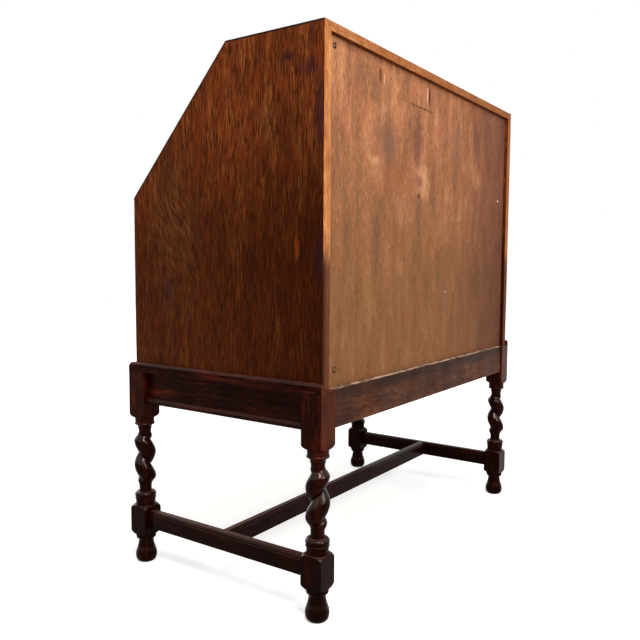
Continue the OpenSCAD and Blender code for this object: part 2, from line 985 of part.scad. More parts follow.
// Turned post that rises from the plate and is drilled for the bail
module handle_post() {
    neck = ball_r - 1.4;
    dome = 2;
    rotate_extrude()
        polygon([
            [0, 0], [ball_r, 0], [ball_r, plate_t + 0.6], [neck, plate_t + 2],
            [neck, pivot_out - ball_r], [ball_r, pivot_out - ball_r + 1.4],
            [ball_r, pivot_out + ball_r - dome], [ball_r * 0.8, pivot_out + ball_r - dome * 0.4],
            [ball_r * 0.4, pivot_out + ball_r], [0, pivot_out + ball_r]]);
}

module drawer_plates(row) {
    color(brass)
        for (side = [-1, 1])
            at_handle(row, side) handle_plate();
}

// The bail hangs from its two pivots outside the posts' balls
module bail() {
    arm_x = post_span / 2 + ball_r + bail_r + 0.3;
    bend_r = 12;
    drop = bail_drop - bend_r;
    grip_r = bail_r + 0.9;
    translate([0, -pivot_out, 0]) {
        both_sides() {
            translate([post_span / 2 - ball_r, 0, 0])
                rotate([0, 90, 0]) cylinder(r = pivot_r, h = arm_x - post_span / 2 + ball_r);
            translate([arm_x, 0, 0]) sphere(r = bail_r);
            translate([arm_x, 0, -drop]) cylinder(r = bail_r, h = drop);
            translate([arm_x - bend_r, 0, -drop])
                rotate([90, 0, 0])
                    rotate_extrude(angle = -90) translate([bend_r, 0]) circle(r = bail_r);
            translate([0, 0, -bail_drop])
                rotate([0, 90, 0]) {
                    cylinder(r = bail_r, h = arm_x - bend_r);
                    cylinder(r1 = grip_r, r2 = bail_r, h = (arm_x - bend_r) * 0.8);
                }
        }
    }
}

module drawer_bail(row, side) {
    color(brass) at_handle(row, side) bail();
}

module top_drawer_front() {
    drawer_front(0);
}

module top_drawer_box() {
    drawer_box(0);
}

module top_drawer_bottom() {
    drawer_bottom(0);
}

module top_drawer_plates() {
    drawer_plates(0);
}

module top_drawer_bail_left() {
    drawer_bail(0, -1);
}

module top_drawer_bail_right() {
    drawer_bail(0, 1);
}

module middle_drawer_front() {
    drawer_front(1);
}

module middle_drawer_box() {
    drawer_box(1);
}

module middle_drawer_bottom() {
    drawer_bottom(1);
}

module middle_drawer_plates() {
    drawer_plates(1);
}

module middle_drawer_bail_left() {
    drawer_bail(1, -1);
}

module middle_drawer_bail_right() {
    drawer_bail(1, 1);
}

module bottom_drawer_front() {
    drawer_front(2);
}

module bottom_drawer_box() {
    drawer_box(2);
}

module bottom_drawer_bottom() {
    drawer_bottom(2);
}

module bottom_drawer_plates() {
    drawer_plates(2);
}

module bottom_drawer_bail_left() {
    drawer_bail(2, -1);
}

module bottom_drawer_bail_right() {
    drawer_bail(2, 1);
}

// Pigeonholes stand at the back of the writing bed
pigeon_y = panel_y - pigeon_d;
shelf_z = bed_z + under_shelf_h;
pigeon_pitch = (inner_w + divider_t) / pigeon_count;

module interior_shelf() {
    color(oak_drawer)
        difference() {
            board([-inner_w / 2, pigeon_y, shelf_z], [inner_w / 2, panel_y, shelf_z + shelf_t]);
            back_battens();
        }
}

// Front edge of a divider: hollowed in a long curve between shelf and top
module divider_section(low, high, hollow) {
    polygon(concat(
        [[panel_y, low]],
        curve([pigeon_y, low], [pigeon_y + hollow, low + (high - low) * 0.25],
            [pigeon_y + hollow, low + (high - low) * 0.75], [pigeon_y, high], 10),
        [[panel_y, high]]));
}

module interior_dividers() {
    hollow = 34;
    color(oak_drawer) {
        for (i = [1:pigeon_count - 1])
            translate([-inner_w / 2 - divider_t / 2 + i * pigeon_pitch, 0, 0])
                along_x(divider_t)
                    divider_section(shelf_z + shelf_t, ceiling_z, hollow);
        both_sides()
            translate([(small_drawer_w + divider_t) / 2, 0, 0])
                along_x(divider_t)
                    divider_section(bed_z, shelf_z, 0);
    }
}

// The small drawer slides on the bed, between the two lower dividers
small_gap = 0.5;
small_half = small_drawer_w / 2 - small_gap;
small_low = bed_z + run_gap;
small_high = shelf_z - small_gap;
small_back_y = panel_y - 6;

module small_drawer_front() {
    color(oak_side)
        board([-small_half, pigeon_y, small_low],
            [small_half, pigeon_y + small_front_t, small_high]);
}

module small_drawer_box() {
    rim = small_high - 6;
    color(oak_drawer) {
        both_sides()
            board([small_half - small_board_t, pigeon_y + small_front_t, small_low],
                [small_half, small_back_y, rim]);
        board([-small_half + small_board_t, small_back_y - small_board_t, small_low],
            [small_half - small_board_t, small_back_y, rim]);
        board([-small_half + small_board_t, pigeon_y + small_front_t, small_low],
            [small_half - small_board_t, small_back_y - small_board_t,
             small_low + small_board_t]);
    }
}

module small_drawer_knob() {
    color(brass)
        translate([0, pigeon_y, (small_low + small_high) / 2])
            rotate([90, 0, 0])
                rotate_extrude()
                    polygon(concat(
                        [[0, 0], [5, 0], [4.6, 1], [2.4, 2.4], [2.4, 6]],
                        curve([2.4, 6], [7, 6.5], [8, 14], [0, 14], 7)));
}

leg_front_left();
leg_front_right();
leg_back_left();
leg_back_right();
rail_front();
rail_back();
rail_left();
rail_right();
moulding_front();
moulding_left();
moulding_right();
stretcher_left();
stretcher_right();
stretcher_centre();
side_left();
side_right();
top_board();
bottom_board();
back_panel();
back_battens();
writing_bed();
drawer_rails();
drawer_runners();
loper_partitions();
flap_stop_rail();
interior_shelf();
interior_dividers();
bed_hinge_leaves();
hinge_pins();
flap_hinge_leaves();
flap_board();
flap_escutcheon();
flap_lock();
lock_bolt();
lock_key();
loper_left();
loper_right();
loper_knob_left();
loper_knob_right();
top_drawer_front();
top_drawer_box();
top_drawer_bottom();
top_drawer_plates();
top_drawer_bail_left();
top_drawer_bail_right();
middle_drawer_front();
middle_drawer_box();
middle_drawer_bottom();
middle_drawer_plates();
middle_drawer_bail_left();
middle_drawer_bail_right();
bottom_drawer_front();
bottom_drawer_box();
bottom_drawer_bottom();
bottom_drawer_plates();
bottom_drawer_bail_left();
bottom_drawer_bail_right();
small_drawer_front();
small_drawer_box();
small_drawer_knob();
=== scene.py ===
# %% [markdown]
# # An oak slant-front desk on a barley-twist stand
# The desk is a case of quarter-sawn oak that stands in a moulding on a turned stand. We look at its
# back and its right side, as someone does who is about to carry it. Every cell below makes one
# piece or one finish. Lengths are written in millimetres, as on a drawing, and turned to metres
# where Blender needs them.

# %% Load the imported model, which is the fixed frame for everything here
import math

import bmesh
import bpy
from mathutils import Matrix, Vector


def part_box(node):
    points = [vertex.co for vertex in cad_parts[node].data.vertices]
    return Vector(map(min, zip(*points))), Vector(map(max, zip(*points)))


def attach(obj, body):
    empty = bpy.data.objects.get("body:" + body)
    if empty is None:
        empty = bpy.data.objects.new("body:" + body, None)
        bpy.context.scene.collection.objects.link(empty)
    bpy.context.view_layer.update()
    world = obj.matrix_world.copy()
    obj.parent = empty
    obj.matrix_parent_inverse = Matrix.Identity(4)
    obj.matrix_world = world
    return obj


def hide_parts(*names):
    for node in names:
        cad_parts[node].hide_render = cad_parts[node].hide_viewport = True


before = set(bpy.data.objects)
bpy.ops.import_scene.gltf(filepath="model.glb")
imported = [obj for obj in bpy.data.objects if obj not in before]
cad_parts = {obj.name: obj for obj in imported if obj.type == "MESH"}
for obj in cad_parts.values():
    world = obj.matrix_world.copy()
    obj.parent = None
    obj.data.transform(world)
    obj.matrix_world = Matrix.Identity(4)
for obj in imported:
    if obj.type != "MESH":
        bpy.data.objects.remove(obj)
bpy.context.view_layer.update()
MM = 0.001

# %% [markdown]
# ## Places that the pieces share
# Nothing here is typed twice: the faces of the case and the stand are read from the boxes of the
# boards that make them, so a piece made below always meets the board that carries it. The slope is
# a plane of its own, from the front of the flat top down past the writing bed, and the flap lies in
# it. No board's box gives its two edges, so they are written as they were measured.

# %% Read the main faces of the desk from its boards
SLOPE_FOOT_Z_MM = 761
SLOPE_TOP_Y_MM = 23.75
side_low, side_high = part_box("side_right")
leg_low, leg_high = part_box("leg_back_right")
front_leg_low, front_leg_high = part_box("leg_front_right")
case_front, case_back = side_low.y, side_high.y
panel_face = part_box("back_panel")[1].y
rail_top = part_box("rail_back")[1].z
bed_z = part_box("writing_bed")[1].z
leg_x = (leg_low.x + leg_high.x) / 2
back_leg_y = (leg_low.y + leg_high.y) / 2
front_leg_y = (front_leg_low.y + front_leg_high.y) / 2
slope_foot = Vector((0, case_front, SLOPE_FOOT_Z_MM * MM))
slope_top = Vector((0, SLOPE_TOP_Y_MM * MM, side_high.z))
up_slope = (slope_top - slope_foot).normalized()
out_of_slope = Vector((0, -up_slope.z, up_slope.y))
print("case back", round(case_back, 4), "leg axis", round(leg_x, 4), round(back_leg_y, 4))
print("slope", round(math.degrees(math.atan2(up_slope.z, up_slope.y)), 2), "degrees")

# %% [markdown]
# ## Camera
# The photograph was taken from behind the desk's right back corner, from about 0.63 m up, with the
# camera tilted 4.5 degrees down. Its place and its lens were solved from the desk's straight edges.
# A camera looks along its own -Z axis with +Y up, so its matrix is built from those three axes.

# %% Place the camera
CAMERA_PLACE = Vector((1.41408, 0.90655, 0.62661))
CAMERA_TURN = math.radians(-55.408)
CAMERA_DIP = math.radians(4.4746)
CAMERA_ROLL = math.radians(0.3214)
LENS_MM = 39.449


def camera_axes(turn, dip, roll):
    """The camera's right, up and backward directions."""
    ahead = Vector((math.sin(turn) * math.cos(dip), -math.cos(turn) * math.cos(dip),
                    -math.sin(dip)))
    level = ahead.cross(Vector((0, 0, 1))).normalized()
    upright = level.cross(ahead)
    right = level * math.cos(roll) + upright * math.sin(roll)
    up = upright * math.cos(roll) - level * math.sin(roll)
    return right, up, -ahead


scene = bpy.context.scene
camera = bpy.data.objects.new("camera", bpy.data.cameras.new("camera"))
scene.collection.objects.link(camera)
camera.data.lens = LENS_MM
camera.data.clip_end = 50
axes = Matrix(camera_axes(CAMERA_TURN, CAMERA_DIP, CAMERA_ROLL)).transposed()
camera.matrix_world = Matrix.Translation(CAMERA_PLACE) @ axes.to_4x4()
scene.camera = camera
print("camera at", [round(c, 3) for c in CAMERA_PLACE], "lens", LENS_MM, "mm")

# %% [markdown]
# ## Helpers
# Three small helpers are used all the way down. A colour written as hex becomes the linear colour
# that a shader wants. One function adds a shader node with its settings and links, whatever its
# kind. One turns a bmesh into a named object that rides on a body of the frame.

# %% Helpers for colours, shader nodes and pieces
# Points closer than this, in metres, are one point; edges over this many degrees stay crisp
SEAM, CRISP_DEGREES = 0.00001, 35


def linear(code):
    """An sRGB hex colour as linear RGBA."""
    channels = [int(code[i:i + 2], 16) / 255 for i in (1, 3, 5)]
    return [c / 12.92 if c <= 0.04045 else ((c + 0.055) / 1.055) ** 2.4 for c in channels] + [1]


def add(tree, kind, sockets=None, stops=(), **settings):
    """Adds a shader node. A socket takes a value or another node's output; a ramp takes stops."""
    made = tree.nodes.new("ShaderNode" + kind)
    for name, value in settings.items():
        setattr(made, name, value)
    for name, value in (sockets or {}).items():
        if isinstance(value, bpy.types.NodeSocket):
            tree.links.new(value, made.inputs[name])
        else:
            made.inputs[name].default_value = value
    for i, (place, tone) in enumerate(stops):
        band = made.color_ramp.elements
        stop = band[i] if i < 2 else band.new(1)
        stop.position = place
        stop.color = linear(tone) if isinstance(tone, str) else (tone, tone, tone, 1)
    return made


def piece(name, mesh, body, finish, replaces=(), sharp=CRISP_DEGREES):
    """Turns a bmesh into an object that rides on a body; edges over the sharp angle stay crisp."""
    bmesh.ops.remove_doubles(mesh, verts=mesh.verts, dist=SEAM)
    bmesh.ops.recalc_face_normals(mesh, faces=mesh.faces)
    data = bpy.data.meshes.new(name)
    mesh.to_mesh(data)
    mesh.free()
    data.shade_smooth()
    data.set_sharp_from_angle(angle=math.radians(sharp))
    data.materials.append(finish)
    made = bpy.data.objects.new(name, data)
    scene.collection.objects.link(made)
    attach(made, body)
    if replaces:
        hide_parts(*replaces)
    return made


print("a mid brown is", [round(c, 3) for c in linear("#74422B")], "in linear light")

# %% [markdown]
# ## Oak
# Oak shows four things at once. Its year rings make soft bands along the grain, its fibres are
# long fine lines, its open pores are short dark dashes that hold the stain, and, because these
# boards are quarter-sawn, its rays show as paler flecks that lean across the grain. All four are
# noise that is stretched along the board, and one function makes them, so every oak finish on the
# desk is the same wood under another stain. Every board came from another part of the tree, so each
# object shifts the noise by its own random number. The real pores are a third of a millimetre wide;
# they are drawn over a millimetre wide, as finer ones are lost at this distance.

# %% The coordinates of a grain
# Each layer of the oak is as wide as its first number in millimetres, and as many times longer
FIGURE = (22, 7)
FIBRE = (1.7, 15)
PORE = (1.4, 18)
FLECK = (5, 5)
AXES = "XYZ"
BOARD_SHIFT = (1.7, 2.3, 3.1)


def grain_space(tree, along, size_mm, stretch, lean=0.0):
    """Coordinates in which one unit is size_mm across the grain and stretch times that along it."""
    scale = [1 / (size_mm * MM)] * 3
    scale[AXES.index(along)] /= stretch
    turn = [0.0] * 3
    turn[(AXES.index(along) + 1) % 3] = lean
    place = add(tree, "TexCoord").outputs["Object"]
    board = add(tree, "ObjectInfo").outputs["Random"]
    moved = add(tree, "VectorMath", {0: board, 1: BOARD_SHIFT, 2: place}, operation="MULTIPLY_ADD")
    turned = add(tree, "Mapping", {"Vector": moved.outputs[0], "Rotation": turn})
    return add(tree, "Mapping", {"Vector": turned.outputs[0], "Scale": scale}).outputs[0]


print("one figure of the oak is", FIGURE[0], "by", FIGURE[0] * FIGURE[1], "mm")

# %% The bare oak that every finish starts from
def wash(tree, below, above, where, strength=1.0):
    """Lays a colour over another one, as strongly as the mask says: Mix has them at 6 and 7."""
    mask = add(tree, "Math", {0: where, 1: strength}, operation="MULTIPLY").outputs[0]
    above = linear(above) if isinstance(above, str) else above
    return add(tree, "Mix", {0: mask, 6: below, 7: above}, data_type="RGBA").outputs[2]


def bare_oak(tree, along, stain, fleck, contrast):
    """Colour and relief of oak, under a stain of three colours from dark to light."""
    dark, middle, light = stain
    rings = add(tree, "TexNoise", {"Vector": grain_space(tree, along, *FIGURE, 0.03),
                                   "Scale": 1.0, "Detail": 4.0, "Roughness": 0.62,
                                   "Distortion": 0.7})
    colour = add(tree, "ValToRGB", {0: rings.outputs[0]},
                 [(0.28, dark), (0.5, middle), (0.74, light)]).outputs[0]
    fibre = add(tree, "TexNoise", {"Vector": grain_space(tree, along, *FIBRE),
                                   "Scale": 1.0, "Detail": 2.0, "Roughness": 0.6,
                                   "Distortion": 0.2}).outputs[0]
    tone = add(tree, "ValToRGB", {0: fibre}, [(0.41, 0.15), (0.59, 1.85)]).outputs[0]
    colour = add(tree, "Mix", {0: contrast, 6: colour, 7: tone}, data_type="RGBA",
                 blend_type="MULTIPLY").outputs[2]
    ray = add(tree, "TexNoise", {"Vector": grain_space(tree, along, *FLECK, 0.2),
                                 "Scale": 1.0, "Detail": 2.0, "Roughness": 0.6,
                                 "Distortion": 0.4}).outputs[0]
    flecks = add(tree, "ValToRGB", {0: ray}, [(0.54, 0.0), (0.66, 1.0)]).outputs[0]
    colour = wash(tree, colour, light, flecks, fleck)
    pore = add(tree, "TexNoise", {"Vector": grain_space(tree, along, *PORE),
                                  "Scale": 1.0, "Detail": 1.0}).outputs[0]
    pores = add(tree, "ValToRGB", {0: pore}, [(0.54, 0.0), (0.62, 1.0)]).outputs[0]
    colour = wash(tree, colour, dark, pores, 0.65)
    relief = add(tree, "Math", {0: fibre, 1: pores}, operation="SUBTRACT").outputs[0]
    return colour, relief


print("oak: fibres of", FIBRE[0], "mm, rays of", FLECK[0], "mm, pores of", PORE[0], "mm")

# %% [markdown]
# ## Marks that have a place
# Old furniture is not the same all over. Polish darkens in broad patches, an edge is rubbed, a foot
# is grimy. Each such mark is a mask, worked out from where a point lies on the desk, so it stays
# where it is from every side. A mark with a smooth outline looks stamped on, so the outline of a
# broad one wanders with a noise of its own.

# %% Masks: patches, fades along an axis and single spots
def patches(tree, size_mm, low=0.42, high=0.68):
    """Soft patches of uneven polish, a little taller than wide."""
    cloud = add(tree, "TexNoise", {"Vector": grain_space(tree, "Z", size_mm, 1.6), "Scale": 1.0,
                                   "Detail": 3.0, "Roughness": 0.55}).outputs[0]
    return add(tree, "ValToRGB", {0: cloud}, [(low, 0.0), (high, 1.0)]).outputs[0]


def fade_between(tree, value, start, end):
    """A mask that is 0 before start and 1 past end."""
    return add(tree, "MapRange", {0: value, 1: start, 2: end, 3: 0.0, 4: 1.0},
               interpolation_type="SMOOTHSTEP").outputs[0]


def fade(tree, axis, start, end):
    """The same along one axis of the desk, in metres."""
    place = add(tree, "TexCoord").outputs["Object"]
    return fade_between(tree, add(tree, "SeparateXYZ", {0: place}).outputs[AXES.index(axis)],
                        start, end)


WANDER = (12, 1.6)


def spot(tree, centre_mm, radii_mm, soft=0.5, ragged=0.0):
    """A soft-edged ellipsoid: 1 inside, 0 outside; ragged makes its outline wander."""
    place = add(tree, "TexCoord").outputs["Object"]
    away = add(tree, "VectorMath", {0: place, 1: [c * MM for c in centre_mm]},
               operation="SUBTRACT").outputs[0]
    shrunk = add(tree, "VectorMath", {0: away, 1: [1 / (r * MM) for r in radii_mm]},
                 operation="MULTIPLY").outputs[0]
    far = add(tree, "VectorMath", {0: shrunk}, operation="LENGTH").outputs["Value"]
    if ragged:
        wander = add(tree, "TexNoise", {"Vector": grain_space(tree, "Z", *WANDER), "Scale": 1.0,
                                        "Detail": 3.0}).outputs[0]
        far = add(tree, "Math", {0: wander, 1: ragged, 2: far},
                  operation="MULTIPLY_ADD").outputs[0]
    outline = 1.0 + ragged / 2
    return fade_between(tree, far, outline, outline - soft)


def overlap(tree, first, second):
    """Where two masks meet."""
    return add(tree, "Math", {0: first, 1: second}, operation="MULTIPLY").outputs[0]


def either(tree, first, second):
    """Where one mask or the other is."""
    return add(tree, "Math", {0: first, 1: second}, operation="MAXIMUM").outputs[0]


print("the outline of a broad mark wanders over", WANDER[0], "mm")

# %% [markdown]
# ## Polish
# Shellac is a thin clear film. It never lies evenly, so its roughness changes in broad soft clouds,
# and it sinks into the grain, which a bump shows. Its gloss is set lower than that of a fresh film:
# a century of dust and wax has dulled it, and the white room would else lie over the dark wood as a
# grey haze.

# %% The polish that goes over every wood
POLISH_CLOUD = (60, 2)


def new_finish(name):
    """An empty material, its node tree and its shader."""
    finish = bpy.data.materials.new(name)
    finish.use_nodes = True
    tree = finish.node_tree
    tree.nodes.clear()
    shader = add(tree, "BsdfPrincipled")
    add(tree, "OutputMaterial", {"Surface": shader.outputs[0]})
    return finish, tree, shader


def polish(tree, shader, colour, relief, roughness, spread, gloss, tint, bump_mm=0.25):
    """Lays polish over the wood: how it shines, and how far the grain still stands out."""
    cloud = add(tree, "TexNoise", {"Vector": grain_space(tree, "Z", *POLISH_CLOUD), "Scale": 1.0,
                                   "Detail": 4.0}).outputs[0]
    rough = add(tree, "MapRange", {0: cloud, 1: 0.3, 2: 0.7, 3: roughness - spread,
                                   4: roughness + spread}).outputs[0]
    grain = add(tree, "Bump", {"Height": relief, "Strength": 0.6, "Distance": bump_mm * MM})
    tree.links.new(colour, shader.inputs["Base Color"])
    tree.links.new(rough, shader.inputs["Roughness"])
    tree.links.new(grain.outputs[0], shader.inputs["Normal"])
    shader.inputs["Specular IOR Level"].default_value = gloss
    shader.inputs["Specular Tint"].default_value = linear(tint)


print("polish changes over", POLISH_CLOUD[0], "mm")

# %% [markdown]
# ## Stained oak of the case
# The case's sides were stained a red brown and polished with shellac. A century of handling wore
# the polish thin in the upper part of the side, where the orange wood glows through, and the side
# darkens towards the foot until it is nearly black. The back edges were never stained: they are
# bare oak gone orange, grime has crept up them from the floor, and painted shade darkens them
# towards the far end. Painted shade lies in a dark line round the rims of the drawer fronts.

# %% The stained faces, with the marks on the side that we see
FACE_X = 441
CASE_STAIN = ("#4A2410", "#642E12", "#804A22")
FEATHER = (2.4, 12)
FEATHERED = ((FACE_X, -110, 680), (40, 90, 200))
PALE_STREAK = ((FACE_X, 186, 652), (20, 7, 40))
DARK_FOOT = (930 * MM, 620 * MM)
DARK_BACK = (-60 * MM, 230 * MM)
# Each smudge is its place along and up the side in millimetres, its two radii and its strength
SMUDGES = [(165, 979, 26, 13, 0.8), (97, 980, 14, 12, 0.45), (209, 958, 34, 26, 0.6),
           (236, 880, 20, 90, 0.6), (-129, 575, 24, 60, 0.5), (215, 1008, 12, 20, 0.5),
           (232, 640, 18, 60, 0.6)]


def stained_face(tree, along):
    """Colour and relief of the stained oak: feathery rays, a dark foot and smudged polish."""
    colour, relief = bare_oak(tree, along, CASE_STAIN, 0.25, 0.88)
    colour = wash(tree, colour, "#6A2A10", patches(tree, 22), 0.45)
    feather = add(tree, "TexNoise", {"Vector": grain_space(tree, along, *FEATHER, -0.6),
                                     "Scale": 1.0, "Detail": 0.0}).outputs[0]
    feathers = add(tree, "ValToRGB", {0: feather}, [(0.5, 0.0), (0.58, 1.0)]).outputs[0]
    where = spot(tree, *FEATHERED, 0.8)
    colour = wash(tree, colour, "#2A1006", where, 0.3)
    colour = wash(tree, colour, "#8A5630", overlap(tree, feathers, where), 0.6)
    colour = wash(tree, colour, "#200C06", patches(tree, 150), 0.35)
    foot = fade(tree, "Z", *DARK_FOOT)
    colour = wash(tree, colour, "#220902", foot, 0.55)
    colour = wash(tree, colour, "#180200", overlap(tree, foot, fade(tree, "Y", *DARK_BACK)), 0.55)
    for y, z, wide, tall, strength in SMUDGES:
        smudge = spot(tree, (FACE_X, y, z), (20, wide, tall), 0.9, 1.0)
        colour = wash(tree, colour, "#22101A", smudge, strength)
    return wash(tree, colour, "#A04A14", spot(tree, *PALE_STREAK, 0.9, 1.4), 0.3), relief


print("smudges on the side:", len(SMUDGES))

# %% Dark edges: the arrises of the sides, and painted shade round the drawer fronts
def dark_arris(tree):
    """A mask of the outer edges of both sides, along the slope and the top."""
    place = add(tree, "TexCoord").outputs["Object"]
    out = add(tree, "VectorMath", {0: place, 1: out_of_slope}, operation="DOT_PRODUCT")
    level = slope_foot.dot(out_of_slope)
    arris = add(tree, "MapRange", {0: out.outputs["Value"], 1: level - 4.2 * MM,
                                   2: level - 2.8 * MM}).outputs[0]
    arris = either(tree, arris, fade(tree, "Z", side_high.z - 4.4 * MM, side_high.z - 3.0 * MM))
    inner, outer = side_high.x - 1.0 * MM, side_high.x - 0.2 * MM
    outside = either(tree, fade(tree, "X", inner, outer), fade(tree, "X", -inner, -outer))
    return overlap(tree, arris, outside)


def gap_shade_rim(tree, low, high):
    """Painted shade of a gap: the outer millimetre of a board's front, fading out over one more."""
    place = add(tree, "TexCoord").outputs["Object"]
    off = add(tree, "VectorMath", {0: place, 1: (low + high) / 2}, operation="SUBTRACT").outputs[0]
    off = add(tree, "VectorMath", {0: off}, operation="ABSOLUTE").outputs[0]
    off = add(tree, "VectorMath", {0: off, 1: (high - low) / 2}, operation="SUBTRACT").outputs[0]
    past = add(tree, "SeparateXYZ", {0: off}).outputs
    return fade_between(tree, either(tree, past["X"], past["Z"]), -1.8 * MM, -0.8 * MM)


print("dark edges run down the slope from", round(slope_top.z / MM), "mm to", SLOPE_FOOT_Z_MM)

# %% The bare back edges, and the whole finish of a case board
RAW_EDGE = 0.3 * MM
GRIME = (668 * MM, 618 * MM)
SHADE_TOWARDS_LEFT = (420 * MM, -420 * MM)
OUTER_CORNER = (430 * MM, 438 * MM)


def bare_edge(tree, along, age):
    """Unstained oak, browned by age, with grime from the floor and painted shade towards the left.
    """
    bare, _ = bare_oak(tree, along, ("#A06036", "#B87848", "#D09460"), 0.15, 0.35)
    bare = wash(tree, bare, "#8A4C28", patches(tree, 20), 0.6)
    # Painted shade: the bare edges are painted browner towards the desk's left end
    bare = wash(tree, bare, "#7A4420", fade(tree, "X", *SHADE_TOWARDS_LEFT), 0.6)
    bare = wash(tree, bare, "#6A3A1C", age)
    grime = fade(tree, "Z", *GRIME)
    bare = wash(tree, bare, "#4A2618", grime, 0.9)
    corner = fade(tree, "X", *OUTER_CORNER)
    return wash(tree, bare, "#241410", overlap(tree, corner, grime), 0.7)


def case_oak(name, along, age, board=None):
    """Stained oak with a bare back edge, and painted shade round the rim of a drawer's front."""
    finish, tree, shader = new_finish(name)
    colour, relief = stained_face(tree, along)
    colour = wash(tree, colour, "#18100C", dark_arris(tree), 0.85)
    if board:
        # Painted shade: a dark rim round a drawer's front stands for the shade in the gap round it
        colour = wash(tree, colour, "#120805", gap_shade_rim(tree, *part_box(board)), 0.85)
    edge = fade(tree, "Y", case_back - RAW_EDGE - 0.1 * MM, case_back - RAW_EDGE)
    colour = wash(tree, colour, bare_edge(tree, along, age), edge)
    polish(tree, shader, colour, relief, 0.5, 0.08, 0.03, "#FF9A66")
    return finish


oak_case = case_oak("quarter_sawn_oak_stained_and_polished", "Z", 0.1)
oak_case_long = case_oak("stained_oak_grain_along_the_desk", "X", 0.45)
ROWS = ("top", "middle", "bottom")
oak_fronts = {row: case_oak(f"stained_oak_{row}_drawer_front", "X", 0.45, f"{row}_drawer_front")
              for row in ROWS}
print("finishes:", oak_case.name, oak_case_long.name, *[oak.name for oak in oak_fronts.values()])

# %% [markdown]
# ## Dark oak of the stand
# The stand is the same oak with a deeper stain and a glossier polish, because turned and moulded
# work was polished on the lathe. The faces that slope upward are rubbed whenever the desk is
# dusted, so they shine, and the flat ledges are lighter. Painted shade darkens the stand downwards,
# so the turned parts of the legs are almost black, and painted light makes the backs of the two
# back legs lighter, like the rail between them. The grain of a leg or a rail runs along its length,
# so the finish is made once for each direction.

# %% Dark stand oak for each direction of grain
STAND_STAIN = ("#0C0201", "#260904", "#541A0A")
LIT_BACKS_Z = (300 * MM, 330 * MM)
DULL, SHINY = 0.02, 0.24


def stand_oak(name, along, shade_from, shade_to, depth):
    """Dark oak with painted shade deepening downwards between two heights in mm, as depth says."""
    finish, tree, shader = new_finish(name)
    colour, relief = bare_oak(tree, along, STAND_STAIN, 0.25, 0.6)
    colour = wash(tree, colour, "#080201", patches(tree, 60), 0.5)
    # Painted light: the backs of the back legs' upper blocks are painted lighter, as lit from
    # behind
    lit_backs = fade(tree, "Y", leg_high.y - 1.6 * MM, leg_high.y - 0.4 * MM)
    lit_backs = overlap(tree, lit_backs, fade(tree, "Z", *LIT_BACKS_Z))
    lit_backs = overlap(tree, lit_backs, patches(tree, 30, 0.2, 0.7))
    colour = wash(tree, colour, "#562612", lit_backs, 0.7)
    # Painted shade: the stand is painted darker downwards between the two heights
    colour = wash(tree, colour, "#0A0201", fade(tree, "Z", shade_from * MM, shade_to * MM), depth)
    # The faces that look up, the flat ledges, are painted lighter
    facing = add(tree, "NewGeometry").outputs["Normal"]
    upward = add(tree, "SeparateXYZ", {0: facing}).outputs[2]
    ledge = fade_between(tree, upward, 0.8, 0.97)
    colour = wash(tree, colour, "#5C3A34", ledge, 0.5)
    polish(tree, shader, colour, relief, 0.16, 0.04, DULL, "#FFE4D8", 0.1)
    rubbed = overlap(tree, fade_between(tree, upward, 0.25, 0.5),
                     fade_between(tree, upward, 0.95, 0.8))
    gloss = add(tree, "MapRange", {0: rubbed, 3: DULL, 4: SHINY}).outputs[0]
    tree.links.new(gloss, shader.inputs["Specular IOR Level"])
    return finish


oak_leg = stand_oak("dark_oak_polished_on_the_lathe", "Z", 314, 270, 0.72)
oak_rail_long = stand_oak("dark_oak_grain_along_the_desk", "X", 330, 30, 0.7)
oak_rail_deep = stand_oak("dark_oak_grain_from_front_to_back", "Y", 330, 30, 0.7)
print("finishes:", oak_leg.name, oak_rail_long.name, oak_rail_deep.name)

# %% [markdown]
# ### The plain back rail
# The back rail was never meant to be seen. Its polish is thin and grey with dust, and its top edge,
# where the case was set down again and again, is worn to a pale line with small chips.

# %% Back rail finish
RAIL_STAIN = ("#26120A", "#442414", "#5E3824")
CHIP = (9, 3)


def back_rail_oak():
    """Thinly polished oak, with a band of painted shade under a chipped pale line at its top."""
    finish, tree, shader = new_finish("dark_oak_thinly_polished_back_rail")
    colour, relief = bare_oak(tree, "X", RAIL_STAIN, 0.1, 0.4)
    colour = wash(tree, colour, "#1C0E0A", patches(tree, 80), 0.5)
    # Painted shade: a dark band along the top of the rail, below the case
    painted_shade_band = fade(tree, "Z", rail_top - 30 * MM, rail_top - 12 * MM)
    colour = wash(tree, colour, "#1E110D", painted_shade_band, 0.65)
    rubbed = add(tree, "TexNoise", {"Vector": grain_space(tree, "X", *CHIP), "Scale": 1.0,
                                    "Detail": 3.0}).outputs[0]
    chips = add(tree, "ValToRGB", {0: rubbed}, [(0.42, 0.2), (0.62, 1.0)]).outputs[0]
    top = fade(tree, "Z", rail_top - 1.6 * MM, rail_top - 0.9 * MM)
    colour = wash(tree, colour, "#B09078", overlap(tree, top, chips))
    polish(tree, shader, colour, relief, 0.5, 0.1, 0.04, "#FFC0A0")
    return finish


oak_back_rail = back_rail_oak()
print("finish:", oak_back_rail.name)
